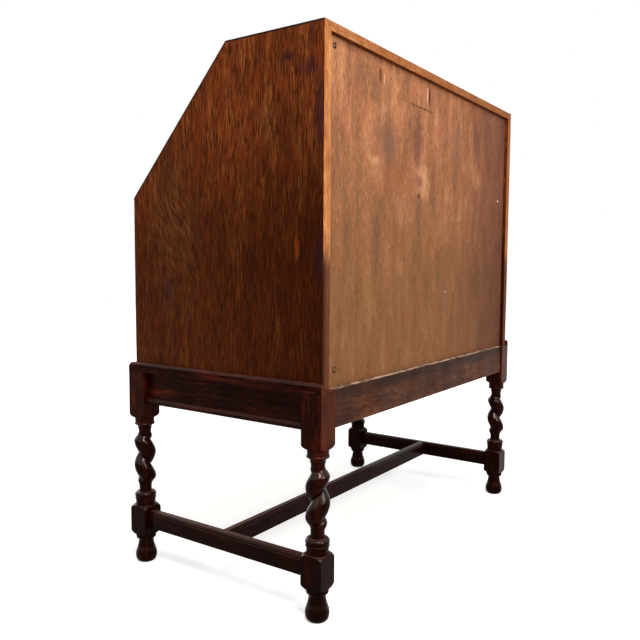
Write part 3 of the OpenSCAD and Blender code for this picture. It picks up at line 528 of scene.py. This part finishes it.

# %% [markdown]
# ## Plywood back
# The back is a sheet of thin plywood whose face was peeled from a turning log, so its figure is
# broad and cloudy and runs up the sheet. It has yellowed, and painted shade darkens it towards its
# foot and its far end. The face has lifted in two small blisters near the top, with painted shade
# and a painted highlight along their sides, and something once scratched it.
# The scratch and the blisters have places, so they are masks of their own.

# %% The marks on the plywood
# Each is a colour, a centre and two radii in x and z in millimetres, how soft it is, how strong
PLY_MARKS = [
    ("#D09A6E", (260, 824), (34, 12), 0.9, 0.35),
    ("#C48E66", (60, 800), (46, 52), 0.9, 0.45),
    ("#644032", (82, 893), (30, 92), 0.7, 0.8),
    ("#B8886A", (62, 808), (40, 34), 0.8, 0.5),
    ("#74483A", (74, 803), (28, 24), 0.8, 0.8),
    ("#4A2A1E", (76, 771), (12, 8), 0.8, 0.9),
    ("#7E543C", (236, 958), (30, 40), 0.9, 0.4),
    ("#6A4C3C", (214, 866), (62, 60), 0.8, 0.65),
    ("#7A5A46", (-110, 900), (60, 60), 0.9, 0.5),
    ("#B07C56", (-235, 835), (40, 34), 0.9, 0.3),
    ("#8C4A30", (170, 800), (110, 40), 0.9, 0.35),
    ("#7A5440", (-60, 560), (60, 80), 0.9, 0.5),
    ("#8A5A42", (24, 985), (18, 34), 0.7, 0.5),
    # These four are painted shade and a painted highlight along the sides of the two blisters
    ("#3E2218", (31, 984), (5, 26), 0.6, 1.0),
    ("#E0AC84", (42, 984), (3, 20), 0.6, 0.7),
    ("#C8946C", (226, 980), (4, 14), 0.6, 0.6),
    ("#56301F", (242, 984), (6, 20), 0.6, 0.9),
    ("#4E2C20", (96, 955), (120, 1.3), 0.5, 0.3),
    ("#40221A", (64, 953), (70, 1.5), 0.4, 0.8),
    ("#E8D8C0", (-381, 796), (3.4, 3.4), 0.4, 1.0),
    ("#D8C0A0", (-67, 568), (3.0, 2.6), 0.4, 0.8),
    ("#4A3020", (135, 640), (4, 5), 0.6, 0.6),
    ("#4A3020", (120, 628), (3, 4), 0.6, 0.6),
]
# The blisters are swellings, each a centre and two radii; the first two make one long blister
SWELLINGS = [((36, 986), (10, 24)), ((22, 978), (6, 18)), ((240, 984), (9, 17))]
SWELL = 5.0
FACE_Y, THROUGH = 232, 30
# A mark longer and wider than this, in millimetres, has a wandering outline
BROAD = (20, 10)
RAGGED = 1.2


def ply_spot(tree, centre, radii, soft, ragged=0.0):
    """A spot on the face of the sheet, through its whole thickness."""
    (x, z), (wide, tall) = centre, radii
    return spot(tree, (x, FACE_Y, z), (wide, THROUGH, tall), soft, ragged)


print("marks on the sheet:", len(PLY_MARKS), "and", len(SWELLINGS), "swellings")

# %% Plywood finish
PLY_CLOUD = (40, 3.2)
PLY_FACE = [(0.34, "#785240"), (0.44, "#8C5E3E"), (0.55, "#9C6648"), (0.66, "#AA7852")]
PLY_STREAK = (2, 6)
PLY_SHADE_FOOT = (960 * MM, 540 * MM)
PLY_SHADE_FAR_END = (-60 * MM, -430 * MM)


def plywood():
    """Peeled veneer: a cloudy figure, fine upright streaks, what has happened to it, and painted
    shade.
    """
    finish, tree, shader = new_finish("peeled_plywood_aged_and_shaded")
    cloud = add(tree, "TexNoise", {"Vector": grain_space(tree, "Z", *PLY_CLOUD, 0.02),
                                   "Scale": 1.0, "Detail": 6.0, "Roughness": 0.65,
                                   "Distortion": 0.4})
    colour = add(tree, "ValToRGB", {0: cloud.outputs[0]}, PLY_FACE).outputs[0]
    streak = add(tree, "TexNoise", {"Vector": grain_space(tree, "Z", *PLY_STREAK), "Scale": 1.0,
                                    "Detail": 3.0, "Roughness": 0.7}).outputs[0]
    tone = add(tree, "ValToRGB", {0: streak}, [(0.41, 0.68), (0.59, 1.24)]).outputs[0]
    colour = add(tree, "Mix", {0: 0.9, 6: colour, 7: tone}, data_type="RGBA",
                 blend_type="MULTIPLY").outputs[2]
    colour = wash(tree, colour, "#8A4E38", patches(tree, 40, 0.46, 0.72), 0.35)
    # Painted shade: the sheet is painted darker towards its foot and towards its far end
    colour = wash(tree, colour, "#5C4026", fade(tree, "Z", *PLY_SHADE_FOOT), 0.6)
    colour = wash(tree, colour, "#4E2C28", fade(tree, "X", *PLY_SHADE_FAR_END), 0.65)
    for tint, centre, radii, soft, strength in PLY_MARKS:
        broad = max(radii) > BROAD[0] and min(radii) > BROAD[1]
        mark = ply_spot(tree, centre, radii, soft, RAGGED if broad else 0.0)
        colour = wash(tree, colour, tint, mark, strength)
    relief = streak
    for centre, radii in SWELLINGS:
        relief = add(tree, "Math", {0: ply_spot(tree, centre, radii, 0.9), 1: SWELL, 2: relief},
                     operation="MULTIPLY_ADD").outputs[0]
    polish(tree, shader, colour, relief, 0.7, 0.08, 0.03, "#FFD0B0", 0.6)
    return finish


ply_back = plywood()
print("finish:", ply_back.name)

# %% [markdown]
# ## Plain oak inside, brass and steel
# Drawer linings, runners and pigeonholes are dry, unpolished oak, which is pale and matt; only the
# front ends of the lopers are stained like the case. The handles, knobs and hinges are cast brass
# gone brown in the hollows, and the pins, bolt and key are steel. The screws in the back have
# dulled, and their cup washers are nearly black. Metals keep their default IOR, and their tarnish
# is broad soft noise.

# %% Plain oak for the inside
DRY_OAK = ("#7C5434", "#A4784C", "#BE9464")


def inside_oak(name, along):
    """Dry oak without polish, stained only where it comes to the front of the desk."""
    finish, tree, shader = new_finish(name)
    colour, relief = bare_oak(tree, along, DRY_OAK, 0.2, 0.3)
    colour = wash(tree, colour, "#6A4228", patches(tree, 120), 0.3)
    faced = fade(tree, "Y", case_front + 6 * MM, case_front + 4 * MM)
    colour = wash(tree, colour, "#5A2A12", faced, 0.9)
    polish(tree, shader, colour, relief, 0.7, 0.06, 0.2, "#FFE0C8")
    return finish


oak_inside = inside_oak("plain_oak_grain_front_to_back", "Y")
oak_inside_long = inside_oak("plain_oak_grain_along_the_desk", "X")
oak_inside_tall = inside_oak("plain_oak_grain_upright", "Z")
print("finishes:", oak_inside.name, oak_inside_long.name, oak_inside_tall.name)

# %% Brass and steel
TARNISH_MM = 14


def metal(name, bright, dull, roughness, grit_mm):
    """Metal that is rougher where it is tarnished, with the fine grit of its casting."""
    finish, tree, shader = new_finish(name)
    tarnish = add(tree, "TexNoise", {"Vector": grain_space(tree, "Z", TARNISH_MM, 1), "Scale": 1.0,
                                     "Detail": 5.0, "Roughness": 0.65}).outputs[0]
    colour = add(tree, "ValToRGB", {0: tarnish}, [(0.35, dull), (0.62, bright)]).outputs[0]
    grit = add(tree, "TexNoise", {"Vector": grain_space(tree, "Z", grit_mm, 1), "Scale": 1.0})
    rough = add(tree, "MapRange", {0: tarnish, 1: 0.3, 2: 0.7, 3: roughness + 0.15,
                                   4: roughness - 0.05}).outputs[0]
    bumps = add(tree, "Bump", {"Height": grit.outputs[0], "Strength": 0.3, "Distance": 0.05 * MM})
    tree.links.new(colour, shader.inputs["Base Color"])
    tree.links.new(rough, shader.inputs["Roughness"])
    tree.links.new(bumps.outputs[0], shader.inputs["Normal"])
    shader.inputs["Metallic"].default_value = 1.0
    return finish


brass = metal("cast_brass_tarnished", "#BC9450", "#54401E", 0.32, 1.2)
steel = metal("forged_steel_dull", "#9C9890", "#4E4844", 0.38, 0.9)
dull_brass = metal("brass_screws_dulled_by_age", "#8E6E4A", "#54402A", 0.45, 0.9)
bronzed = metal("turned_brass_blackened_by_age", "#4E3524", "#1E120C", 0.42, 0.9)
print("finishes:", brass.name, steel.name, dull_brass.name, bronzed.name)

# %% [markdown]
# ## Dress the boards
# Each board takes the finish whose grain runs along its length. The edges of hand-finished oak are
# eased by about a millimetre, which is what catches the light along them. The boards' meshes stay
# as they are, and modifiers do the work: Weld joins the loose triangles, Decimate clears the flat
# faces of their diagonals, Bevel rounds the edges, a small node group shades the round parts
# smooth, and Weighted Normal keeps the flats flat.

# %% Sort the boards by finish
WOODS = {
    oak_case: ["side_left", "side_right", "loper_partitions"],
    oak_case_long: ["top_board", "bottom_board", "writing_bed", "drawer_rails",
                    "flap_stop_rail", "flap_board", "small_drawer_front"],
    **{oak_fronts[row]: [f"{row}_drawer_front"] for row in ROWS},
    oak_rail_long: ["rail_front", "moulding_front", "stretcher_centre"],
    oak_rail_deep: ["rail_left", "rail_right", "moulding_left", "moulding_right",
                    "stretcher_left", "stretcher_right"],
    oak_back_rail: ["rail_back"],
    ply_back: ["back_panel"],
    oak_inside: ["drawer_runners", "small_drawer_box", "loper_left", "loper_right"]
    + [f"{row}_drawer_box" for row in ROWS],
    oak_inside_long: ["interior_shelf"] + [f"{row}_drawer_bottom" for row in ROWS],
    oak_inside_tall: ["back_battens", "interior_dividers"],
}
METALS = {
    brass: ["bed_hinge_leaves", "flap_hinge_leaves", "flap_escutcheon", "flap_lock",
            "loper_knob_left", "loper_knob_right", "small_drawer_knob"]
    + [f"{row}_drawer_{part}" for row in ROWS for part in ("plates", "bail_left", "bail_right")],
    steel: ["hinge_pins", "lock_bolt", "lock_key"],
}
print("boards:", sum(map(len, WOODS.values())), "fittings:", sum(map(len, METALS.values())))


# %% Shade round surfaces smooth without touching the mesh
def smooth_shading(limit_degrees):
    """A node group that smooths every edge flatter than the limit."""
    group = bpy.data.node_groups.new("smooth_round_parts", "GeometryNodeTree")
    for direction in ("INPUT", "OUTPUT"):
        group.interface.new_socket("Mesh", in_out=direction, socket_type="NodeSocketGeometry")
    start = group.nodes.new("NodeGroupInput")
    end = group.nodes.new("NodeGroupOutput")
    angle = group.nodes.new("GeometryNodeInputMeshEdgeAngle")
    steep = group.nodes.new("FunctionNodeCompare")
    steep.inputs[1].default_value = math.radians(limit_degrees)
    smooth = group.nodes.new("GeometryNodeSetShadeSmooth")
    crisp = group.nodes.new("GeometryNodeSetShadeSmooth")
    crisp.domain = "EDGE"
    crisp.inputs["Shade Smooth"].default_value = False
    group.links.new(start.outputs[0], smooth.inputs[0])
    group.links.new(smooth.outputs[0], crisp.inputs[0])
    group.links.new(angle.outputs[0], steep.inputs[0])
    group.links.new(steep.outputs[0], crisp.inputs["Selection"])
    group.links.new(crisp.outputs[0], end.inputs[0])
    return group


smooth_round_parts = smooth_shading(CRISP_DEGREES)
print("shading group has", len(smooth_round_parts.nodes), "nodes")

# %% Give every board and fitting its finish and its modifiers
EASE_MM = 0.8
JOIN_WITHIN_MM = 0.02
FLAT_DEGREES, CORNER_DEGREES = 1, 40


def dress(node, finish, ease_mm=0.0):
    """Puts one finish on a CAD node and eases its edges, with modifiers alone."""
    node.data.materials.clear()
    node.data.materials.append(finish)
    weld = node.modifiers.new("join", "WELD")
    weld.merge_threshold = JOIN_WITHIN_MM * MM
    if ease_mm:
        flat = node.modifiers.new("clear_flats", "DECIMATE")
        flat.decimate_type = "DISSOLVE"
        flat.angle_limit = math.radians(FLAT_DEGREES)
        bevel = node.modifiers.new("ease", "BEVEL")
        bevel.width = ease_mm * MM
        bevel.segments = 3
        bevel.limit_method = "ANGLE"
        bevel.angle_limit = math.radians(CORNER_DEGREES)
    shade = node.modifiers.new("smooth", "NODES")
    shade.node_group = smooth_round_parts
    even = node.modifiers.new("even", "WEIGHTED_NORMAL")
    even.keep_sharp = True


for finish, names in WOODS.items():
    for name in names:
        dress(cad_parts[name], finish, EASE_MM)
for finish, names in METALS.items():
    for name in names:
        dress(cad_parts[name], finish)
print("dressed", sum(len(names) for names in {**WOODS, **METALS}.values()), "nodes")

# %% [markdown]
# ## Turned legs
# A turner makes such a leg from one square: the blocks stay square, the rest is turned round, and
# the twist is then cut by hand as one full rope wound round the leg's axis, with a sharp crease
# between its turns. Any slice across the leg is a circle, a square with its corners turned away,
# or, in the twist, a rounded heart: furthest out on the rope's crest and nearest in the crease
# opposite. So the leg starts as a flat grid, one row for each slice, that is rolled up: a slice
# sets its radius, how square it is, and which way its heart points. The seam is then welded and the
# two ends are closed.

# %% Heights and radii of the leg, in millimetres
# From the foot up: ball, ring, lower block, collar, torus, neck, twist, cove, collar, upper block
LEG_HALF = 22.0
FOOT_NECK_R, COLLAR_R, NECK_R, TORUS_R = 15.4, 20.4, 12.6, 22.0
RING_Z, BLOCK_Z, BASE_Z, NECK_Z, TWIST_Z = 50.0, 60.0, 122.0, 151.0, 162.0
TWIST_TOP, COVE_Z, COLLAR_Z, UPPER_BLOCK_Z, LEG_TOP = 278.0, 284.0, 294.0, 309.0, 406.0
CREST_R, CREASE_R, ROPE_PITCH, ROPE_RAMP = 22.0, 11.0, 52.6, 19.0
SHOULDER, TORUS, ARRIS = 12.0, 6.6, 1.4
# The grid is cut back to the square, so a block's slices only have to reach past its corners
PAST_CORNER, TURNED_IN, ROUNDED = 1.44, 0.96, 0.86


def curve(a, b, c, d, count):
    """Points of a cubic curve from a to d, each (radius, height)."""
    made = []
    for i in range(count + 1):
        t = i / count
        weights = ((1 - t) ** 3, 3 * t * (1 - t) ** 2, 3 * t * t * (1 - t), t ** 3)
        made.append(tuple(sum(w * p[k] for w, p in zip(weights, (a, b, c, d))) for k in (0, 1)))
    return made


def block(z0, z1, turned_top):
    """Outline of a square block whose corners are turned away at its foot, and at its top too."""
    wide, tight = LEG_HALF * PAST_CORNER, LEG_HALF * TURNED_IN
    low = curve((tight, z0), (wide * ROUNDED, z0 + 0.5), (wide, z0 + SHOULDER / 2),
                (wide, z0 + SHOULDER), 10)
    if not turned_top:
        return low + [(wide, z1)]
    return low + curve((wide, z1 - SHOULDER), (wide, z1 - SHOULDER / 2),
                       (wide * ROUNDED, z1 - 0.5), (tight, z1), 10)


print("a twist is", TWIST_TOP - TWIST_Z, "mm high and turns once in", ROPE_PITCH, "mm")


# %% Outlines of the turned parts, joined from the floor to the top
def foot_outline():
    """Ball foot and ring."""
    return curve((LEG_HALF * 0.6, 0), (LEG_HALF * 0.88, 0.5), (LEG_HALF, 7), (LEG_HALF, 14), 8) \
        + curve((LEG_HALF, 14), (LEG_HALF, 27), (FOOT_NECK_R, 30), (FOOT_NECK_R, RING_Z - 3), 14) \
        + [(FOOT_NECK_R + 1.5, RING_Z)] \
        + curve((COLLAR_R - 2, RING_Z), (COLLAR_R + 0.8, RING_Z + 1),
                (COLLAR_R + 0.8, BLOCK_Z - 3), (COLLAR_R - 0.6, BLOCK_Z), 8)


def base_outline():
    """Collar, step and torus under the lower neck."""
    torus_z = NECK_Z - TORUS - 0.4
    step_z = torus_z - TORUS - 2
    torus = [(TORUS_R - TORUS + TORUS * math.cos(a), torus_z + TORUS * math.sin(a))
             for a in [math.radians(-90 + 175 * i / 14) for i in range(15)]]
    return [(COLLAR_R - 0.4, BASE_Z), (COLLAR_R - 0.4, step_z), (TORUS_R - 0.6, step_z),
            (TORUS_R - 0.6, torus_z - TORUS)] + torus


def top_outline():
    """Cove and collar over the upper neck."""
    return curve((NECK_R + 1.2, COVE_Z), (NECK_R + 1.2, COVE_Z + 5), (COLLAR_R - 5, COLLAR_Z - 1),
                 (COLLAR_R - 1.4, COLLAR_Z - 0.5), 8) \
        + [(COLLAR_R, COLLAR_Z), (COLLAR_R + 0.4, COLLAR_Z + 1.4), (COLLAR_R, COLLAR_Z + 2.8),
           (COLLAR_R - 0.8, COLLAR_Z + 3.4), (COLLAR_R - 0.8, UPPER_BLOCK_Z - 4),
           (COLLAR_R, UPPER_BLOCK_Z)]


TWIST_RINGS = 116
twist = [(NECK_R, TWIST_Z + (TWIST_TOP - TWIST_Z) * i / TWIST_RINGS)
         for i in range(TWIST_RINGS + 1)]
leg_outline = foot_outline() + block(BLOCK_Z, BASE_Z, True) + base_outline() \
    + [(NECK_R, NECK_Z - 0.4)] + twist + [(NECK_R, COVE_Z)] \
    + top_outline() + block(UPPER_BLOCK_Z, LEG_TOP, False)
print("a leg has", len(leg_outline), "slices")

# %% Roll up the slices into four legs
# Points stand evenly round a slice, but each corner of the square has two, an arris apart
COLUMNS = 96
ARRIS_ANGLE = math.degrees(2 * math.atan(ARRIS / 2 / (LEG_HALF * math.sqrt(2))))
around = sorted([i * 360 / COLUMNS for i in range(COLUMNS) if i % (COLUMNS // 4) != COLUMNS // 8]
                + [45 + 90 * q + s * ARRIS_ANGLE / 2 for q in range(4) for s in (-1, 1)])


def slice_point(angle, radius, z, hand, turn):
    """One point of a slice, at an angle round the leg. In the twist the rope swells out of it."""
    t = min(1, max(0, min(z - TWIST_Z, TWIST_TOP - z) / ROPE_RAMP))
    swell = t * t * (3 - 2 * t)
    flat = LEG_HALF / max(abs(math.cos(angle)), abs(math.sin(angle)))
    wind = math.radians(turn + hand * 360 * (z - (TWIST_Z + TWIST_TOP) / 2) / ROPE_PITCH)
    girth = CREASE_R + (CREST_R - CREASE_R) * abs(math.cos((angle - wind) / 2))
    r = min(radius, flat) + (girth - NECK_R) * swell
    return Vector((r * math.cos(angle), r * math.sin(angle), z)) * MM


def turned_leg(name, x, y, hand, turn):
    """One leg, rolled up from a grid and set on its place."""
    mesh = bmesh.new()
    rows, columns = len(leg_outline) - 1, len(around)
    bmesh.ops.create_grid(mesh, x_segments=columns, y_segments=rows, size=1.0)
    for v in mesh.verts:
        column = round((v.co.x + 1) / 2 * columns) % columns
        radius, z = leg_outline[round((v.co.y + 1) / 2 * rows)]
        v.co = slice_point(math.radians(around[column]), radius, z, hand, turn)
    bmesh.ops.remove_doubles(mesh, verts=mesh.verts, dist=SEAM)
    bmesh.ops.holes_fill(mesh, edges=mesh.edges, sides=0)
    bmesh.ops.translate(mesh, vec=Vector((x, y, 0)), verts=mesh.verts)
    plain = name.replace("turned_", "")
    return piece(name, mesh, "carcase", oak_leg, [plain], CORNER_DEGREES)


# Each leg's place, the hand of its rope, and which way the rope's crest points at mid height
LEGS = {
    "turned_leg_front_left": (-leg_x, front_leg_y, 1, 140),
    "turned_leg_front_right": (leg_x, front_leg_y, -1, 233),
    "turned_leg_back_left": (-leg_x, back_leg_y, -1, 230),
    "turned_leg_back_right": (leg_x, back_leg_y, 1, 173),
}
for name, place in LEGS.items():
    made = turned_leg(name, *place)
    print(name, "has", len(made.data.polygons), "faces")

# %% [markdown]
# ## Screws
# The plywood back is held by brass screws in cup washers, one near each corner. A screw or a washer
# is a turned thing, so its profile, a chain of points, is spun once round. The driver's slot is cut
# by two planes and pressed in. A screw that was driven by hand stops anywhere, so each slot is
# turned its own way.

# %% Turn a fitting from its profile, and cut a driver's slot
TURN_STEPS = 28


def spun(profile_mm, steps=TURN_STEPS):
    """A bmesh turned from (radius, height) points about its own Z axis."""
    mesh = bmesh.new()
    radius, height = profile_mm[0]
    tip = bmesh.ops.create_vert(mesh, co=Vector((radius, 0, height)) * MM)["vert"][0]
    for radius, height in profile_mm[1:]:
        tip = bmesh.ops.extrude_vert_indiv(mesh, verts=[tip])["verts"][0]
        tip.co = Vector((radius, 0, height)) * MM
    bmesh.ops.spin(mesh, geom=mesh.verts[:] + mesh.edges[:], cent=(0, 0, 0), axis=(0, 0, 1),
                   angle=2 * math.pi, steps=steps, use_merge=True, use_duplicate=False)
    bmesh.ops.remove_doubles(mesh, verts=mesh.verts, dist=SEAM / 2)
    bmesh.ops.recalc_face_normals(mesh, faces=mesh.faces)
    return mesh


def cut_slot(mesh, width_mm, depth_mm):
    """Cuts a driver's slot across the top of a screw head."""
    half = width_mm / 2 * MM
    for side in (-half, half):
        bmesh.ops.bisect_plane(mesh, geom=mesh.verts[:] + mesh.edges[:] + mesh.faces[:],
                               plane_co=(side, 0, 0), plane_no=(1, 0, 0))
    mesh.normal_update()
    inside = [f for f in mesh.faces
              if abs(f.calc_center_median().x) < half and f.normal.z > 0.6]
    pressed = bmesh.ops.extrude_face_region(mesh, geom=inside)["geom"]
    bmesh.ops.delete(mesh, geom=inside, context="FACES")
    bmesh.ops.translate(mesh, vec=Vector((0, 0, -depth_mm * MM)),
                        verts=[g for g in pressed if isinstance(g, bmesh.types.BMVert)])
    return mesh


print("fittings are turned in", TURN_STEPS, "steps")


# %% Copy a fitting to its places
def set_out(template, places):
    """Copies a small fitting to every place, each a matrix."""
    data = bpy.data.meshes.new("template")
    template.to_mesh(data)
    template.free()
    mesh = bmesh.new()
    for place in places:
        start = len(mesh.verts)
        mesh.from_mesh(data)
        mesh.verts.ensure_lookup_table()
        bmesh.ops.transform(mesh, matrix=place, verts=mesh.verts[start:])
    bpy.data.meshes.remove(data)
    return mesh


def facing(point, out, twist_degrees=0.0):
    """A matrix that stands a fitting on a point, pointing out, with its slot turned."""
    turn = out.normalized().to_track_quat("Z", "Y").to_matrix().to_4x4()
    return Matrix.Translation(point) @ turn @ Matrix.Rotation(math.radians(twist_degrees), 4, "Z")


backward = Vector((0, 1, 0))
print("a fitting on the back points to", facing(Vector(), backward).col[2].to_tuple(2)[:3])

# %% Cup washers and screws in the back
# Each screw is its x, its z and the turn of its slot; a profile's points are radius and height
BACK_SCREWS = [(399, 997, 20), (392, 443, -35), (-408, 997, 75), (-404, 443, 10)]
CUP = [(2.9, 0.4), (3.3, 1.2), (4.0, 1.5), (4.7, 1.25), (5.4, 0.35), (5.5, 0.0), (5.2, -0.1),
       (2.9, -0.1), (2.9, 0.4)]
HEAD = [(0, 1.7), (0.8, 1.65), (1.6, 1.45), (2.3, 1.1), (2.9, 0.5), (2.7, 0.1), (0, -0.1)]
back_places = [facing(Vector((x * MM, panel_face, z * MM)), backward, turn)
               for x, z, turn in BACK_SCREWS]
piece("back_cup_washers", set_out(spun(CUP), back_places), "carcase", bronzed)
piece("back_screws", set_out(cut_slot(spun(HEAD, 24), 0.8, 0.7), back_places), "carcase",
      dull_brass)
print("back screws:", len(back_places))

# %% [markdown]
# ### Screws of the hinges and the lock
# Each leaf of a hinge has three countersunk screws, the middle one set nearer to the edge of the
# leaf, so that the three don't split the wood along one line of grain. The lock has four, and its
# escutcheon is held by two small pins. Their heads stand a fifth of a millimetre proud. Places on
# the flap are measured up the slope from the hinge, as they would be on the bench.

# %% Places of the small screws, in millimetres
FLUSH = [(0, 0.2), (1.5, 0.2), (2.1, 0.14), (2.3, 0.0), (2.2, -0.1), (0, -0.1)]
HINGE_X = (-300, 0, 300)
LEAF_SCREWS = ((-22, 12), (0, 20), (22, 12))
FLAP_LENGTH = 386.61
LOCK_SCREWS = [(x, FLAP_LENGTH - down) for x in (-25, 25) for down in (6, 40)]
PINS = [(0, FLAP_LENGTH - 35 + off) for off in (-10.5, 10.5)]
ESCUTCHEON_FACE = 19.2
hinge_axis = Vector((0, case_front, bed_z))


def on_slope(x_mm, y_mm, z_mm):
    """A point of the closed flap: x along the desk, y up from the hinge, z out of the desk."""
    return hinge_axis + Vector((x_mm * MM, 0, 0)) + (up_slope * y_mm + out_of_slope * z_mm) * MM


print("screws of a leaf:", len(LEAF_SCREWS), "of the lock:", len(LOCK_SCREWS))


# %% Set the small screws
def small_screws(name, body, places):
    """Countersunk screws of one body, each with its slot turned its own way."""
    stood = [facing(at, out, 37 * i) for i, (at, out) in enumerate(places)]
    return piece(name, set_out(cut_slot(spun(FLUSH, 20), 0.5, 0.15), stood), body, brass)


bed_places = [(hinge_axis + Vector((x + dx, y, 0)) * MM, Vector((0, 0, 1)))
              for x in HINGE_X for dx, y in LEAF_SCREWS]
flap_places = [(on_slope(x + dx, y, 0), -out_of_slope) for x in HINGE_X for dx, y in LEAF_SCREWS]
lock_places = [(on_slope(x, y, 0), -out_of_slope) for x, y in LOCK_SCREWS]
pin_places = [(on_slope(x, y, ESCUTCHEON_FACE), out_of_slope) for x, y in PINS]
small_screws("bed_hinge_screws", "carcase", bed_places)
small_screws("flap_hinge_screws", "flap", flap_places)
small_screws("lock_screws", "flap", lock_places)
small_screws("escutcheon_pins", "flap", pin_places)
print("small screws:", len(bed_places + flap_places + lock_places + pin_places))

# %% [markdown]
# ## Studio
# The light is plain and soft, so a colour renders about as it is written: a large lamp from behind
# the desk, to the camera's right, is the key, one fills the side, one overhead lights the top, and
# one in front lights what the camera doesn't see. A small one above the camera puts glints on the
# polished twists. The floor is pale. Seen by the camera it glows a little, and more with distance,
# so it fades into the white behind, but it still takes the desk's shadow.

# %% Lamps
# Each lamp is its place and the width of its square face in metres, and its power in watts
DESK_MIDDLE = Vector((0, 0.1, 0.5))
LAMPS = {
    "key": (Vector((0.6, 3.1, 2.2)), 1.4, 80),
    "glint": (Vector((1.5, 1.3, 2.5)), 0.5, 45),
    "side": (Vector((3.4, -0.8, 1.7)), 2.0, 14),
    "overhead": (Vector((0, 0.2, 3.4)), 2.2, 30),
    "front": (Vector((-1.0, -3.4, 1.8)), 2.4, 55),
}
for name, (place, size, watts) in LAMPS.items():
    lamp = bpy.data.lights.new(name, "AREA")
    lamp.size = size
    lamp.energy = watts
    holder = bpy.data.objects.new(name, lamp)
    scene.collection.objects.link(holder)
    holder.matrix_world = facing(place, place - DESK_MIDDLE)
print("lamps:", list(LAMPS))


# %% Background
def seen_directly(tree):
    """1 for rays that show the background itself: from the camera, in metal or through glass."""
    path = add(tree, "LightPath")
    mirrored = add(tree, "Math", {0: path.outputs["Is Camera Ray"],
                                  1: path.outputs["Is Glossy Ray"]}, operation="MAXIMUM")
    return add(tree, "Math", {0: mirrored.outputs[0], 1: path.outputs["Is Transmission Ray"]},
               operation="MAXIMUM").outputs[0]


world = bpy.data.worlds.new("studio")
scene.world = world
world.use_nodes = True
world.node_tree.nodes.clear()
sky = add(world.node_tree, "Mix", {0: seen_directly(world.node_tree), 6: linear("#8C8C8C"),
                                   7: (1, 1, 1, 1)}, data_type="RGBA")
backdrop = add(world.node_tree, "Background", {"Color": sky.outputs[2], "Strength": 1.0})
add(world.node_tree, "OutputWorld", {"Surface": backdrop.outputs[0]})
scene.view_settings.view_transform = "Standard"
print("background:", world.name, "with", len(world.node_tree.nodes), "nodes")

# %% Floor
FLOOR_RADIUS = 9.0
GLOW_FROM, GLOW_FULL = 0.9, 2.6


def pale_floor():
    """A matt floor that glows for the camera, more with distance, so that it ends in white."""
    finish = bpy.data.materials.new("pale_studio_floor")
    finish.use_nodes = True
    tree = finish.node_tree
    tree.nodes.clear()
    place = add(tree, "TexCoord").outputs["Object"]
    far = add(tree, "VectorMath", {0: place}, operation="LENGTH").outputs["Value"]
    glow = add(tree, "MapRange", {0: far, 1: GLOW_FROM, 2: GLOW_FULL, 3: 0.55, 4: 1.0}).outputs[0]
    seen = overlap(tree, glow, seen_directly(tree))
    matt = add(tree, "BsdfDiffuse", {"Color": linear("#E6E4E0")})
    light = add(tree, "Emission", {"Color": (1, 1, 1, 1), "Strength": seen})
    both = add(tree, "AddShader", {0: matt.outputs[0], 1: light.outputs[0]})
    add(tree, "OutputMaterial", {"Surface": both.outputs[0]})
    return finish


ground = bmesh.new()
bmesh.ops.create_circle(ground, cap_ends=True, segments=96, radius=FLOOR_RADIUS)
floor_mesh = bpy.data.meshes.new("floor")
ground.to_mesh(floor_mesh)
ground.free()
floor_mesh.materials.append(pale_floor())
floor = bpy.data.objects.new("floor", floor_mesh)
scene.collection.objects.link(floor)
print("floor:", FLOOR_RADIUS, "m from its middle to its edge")
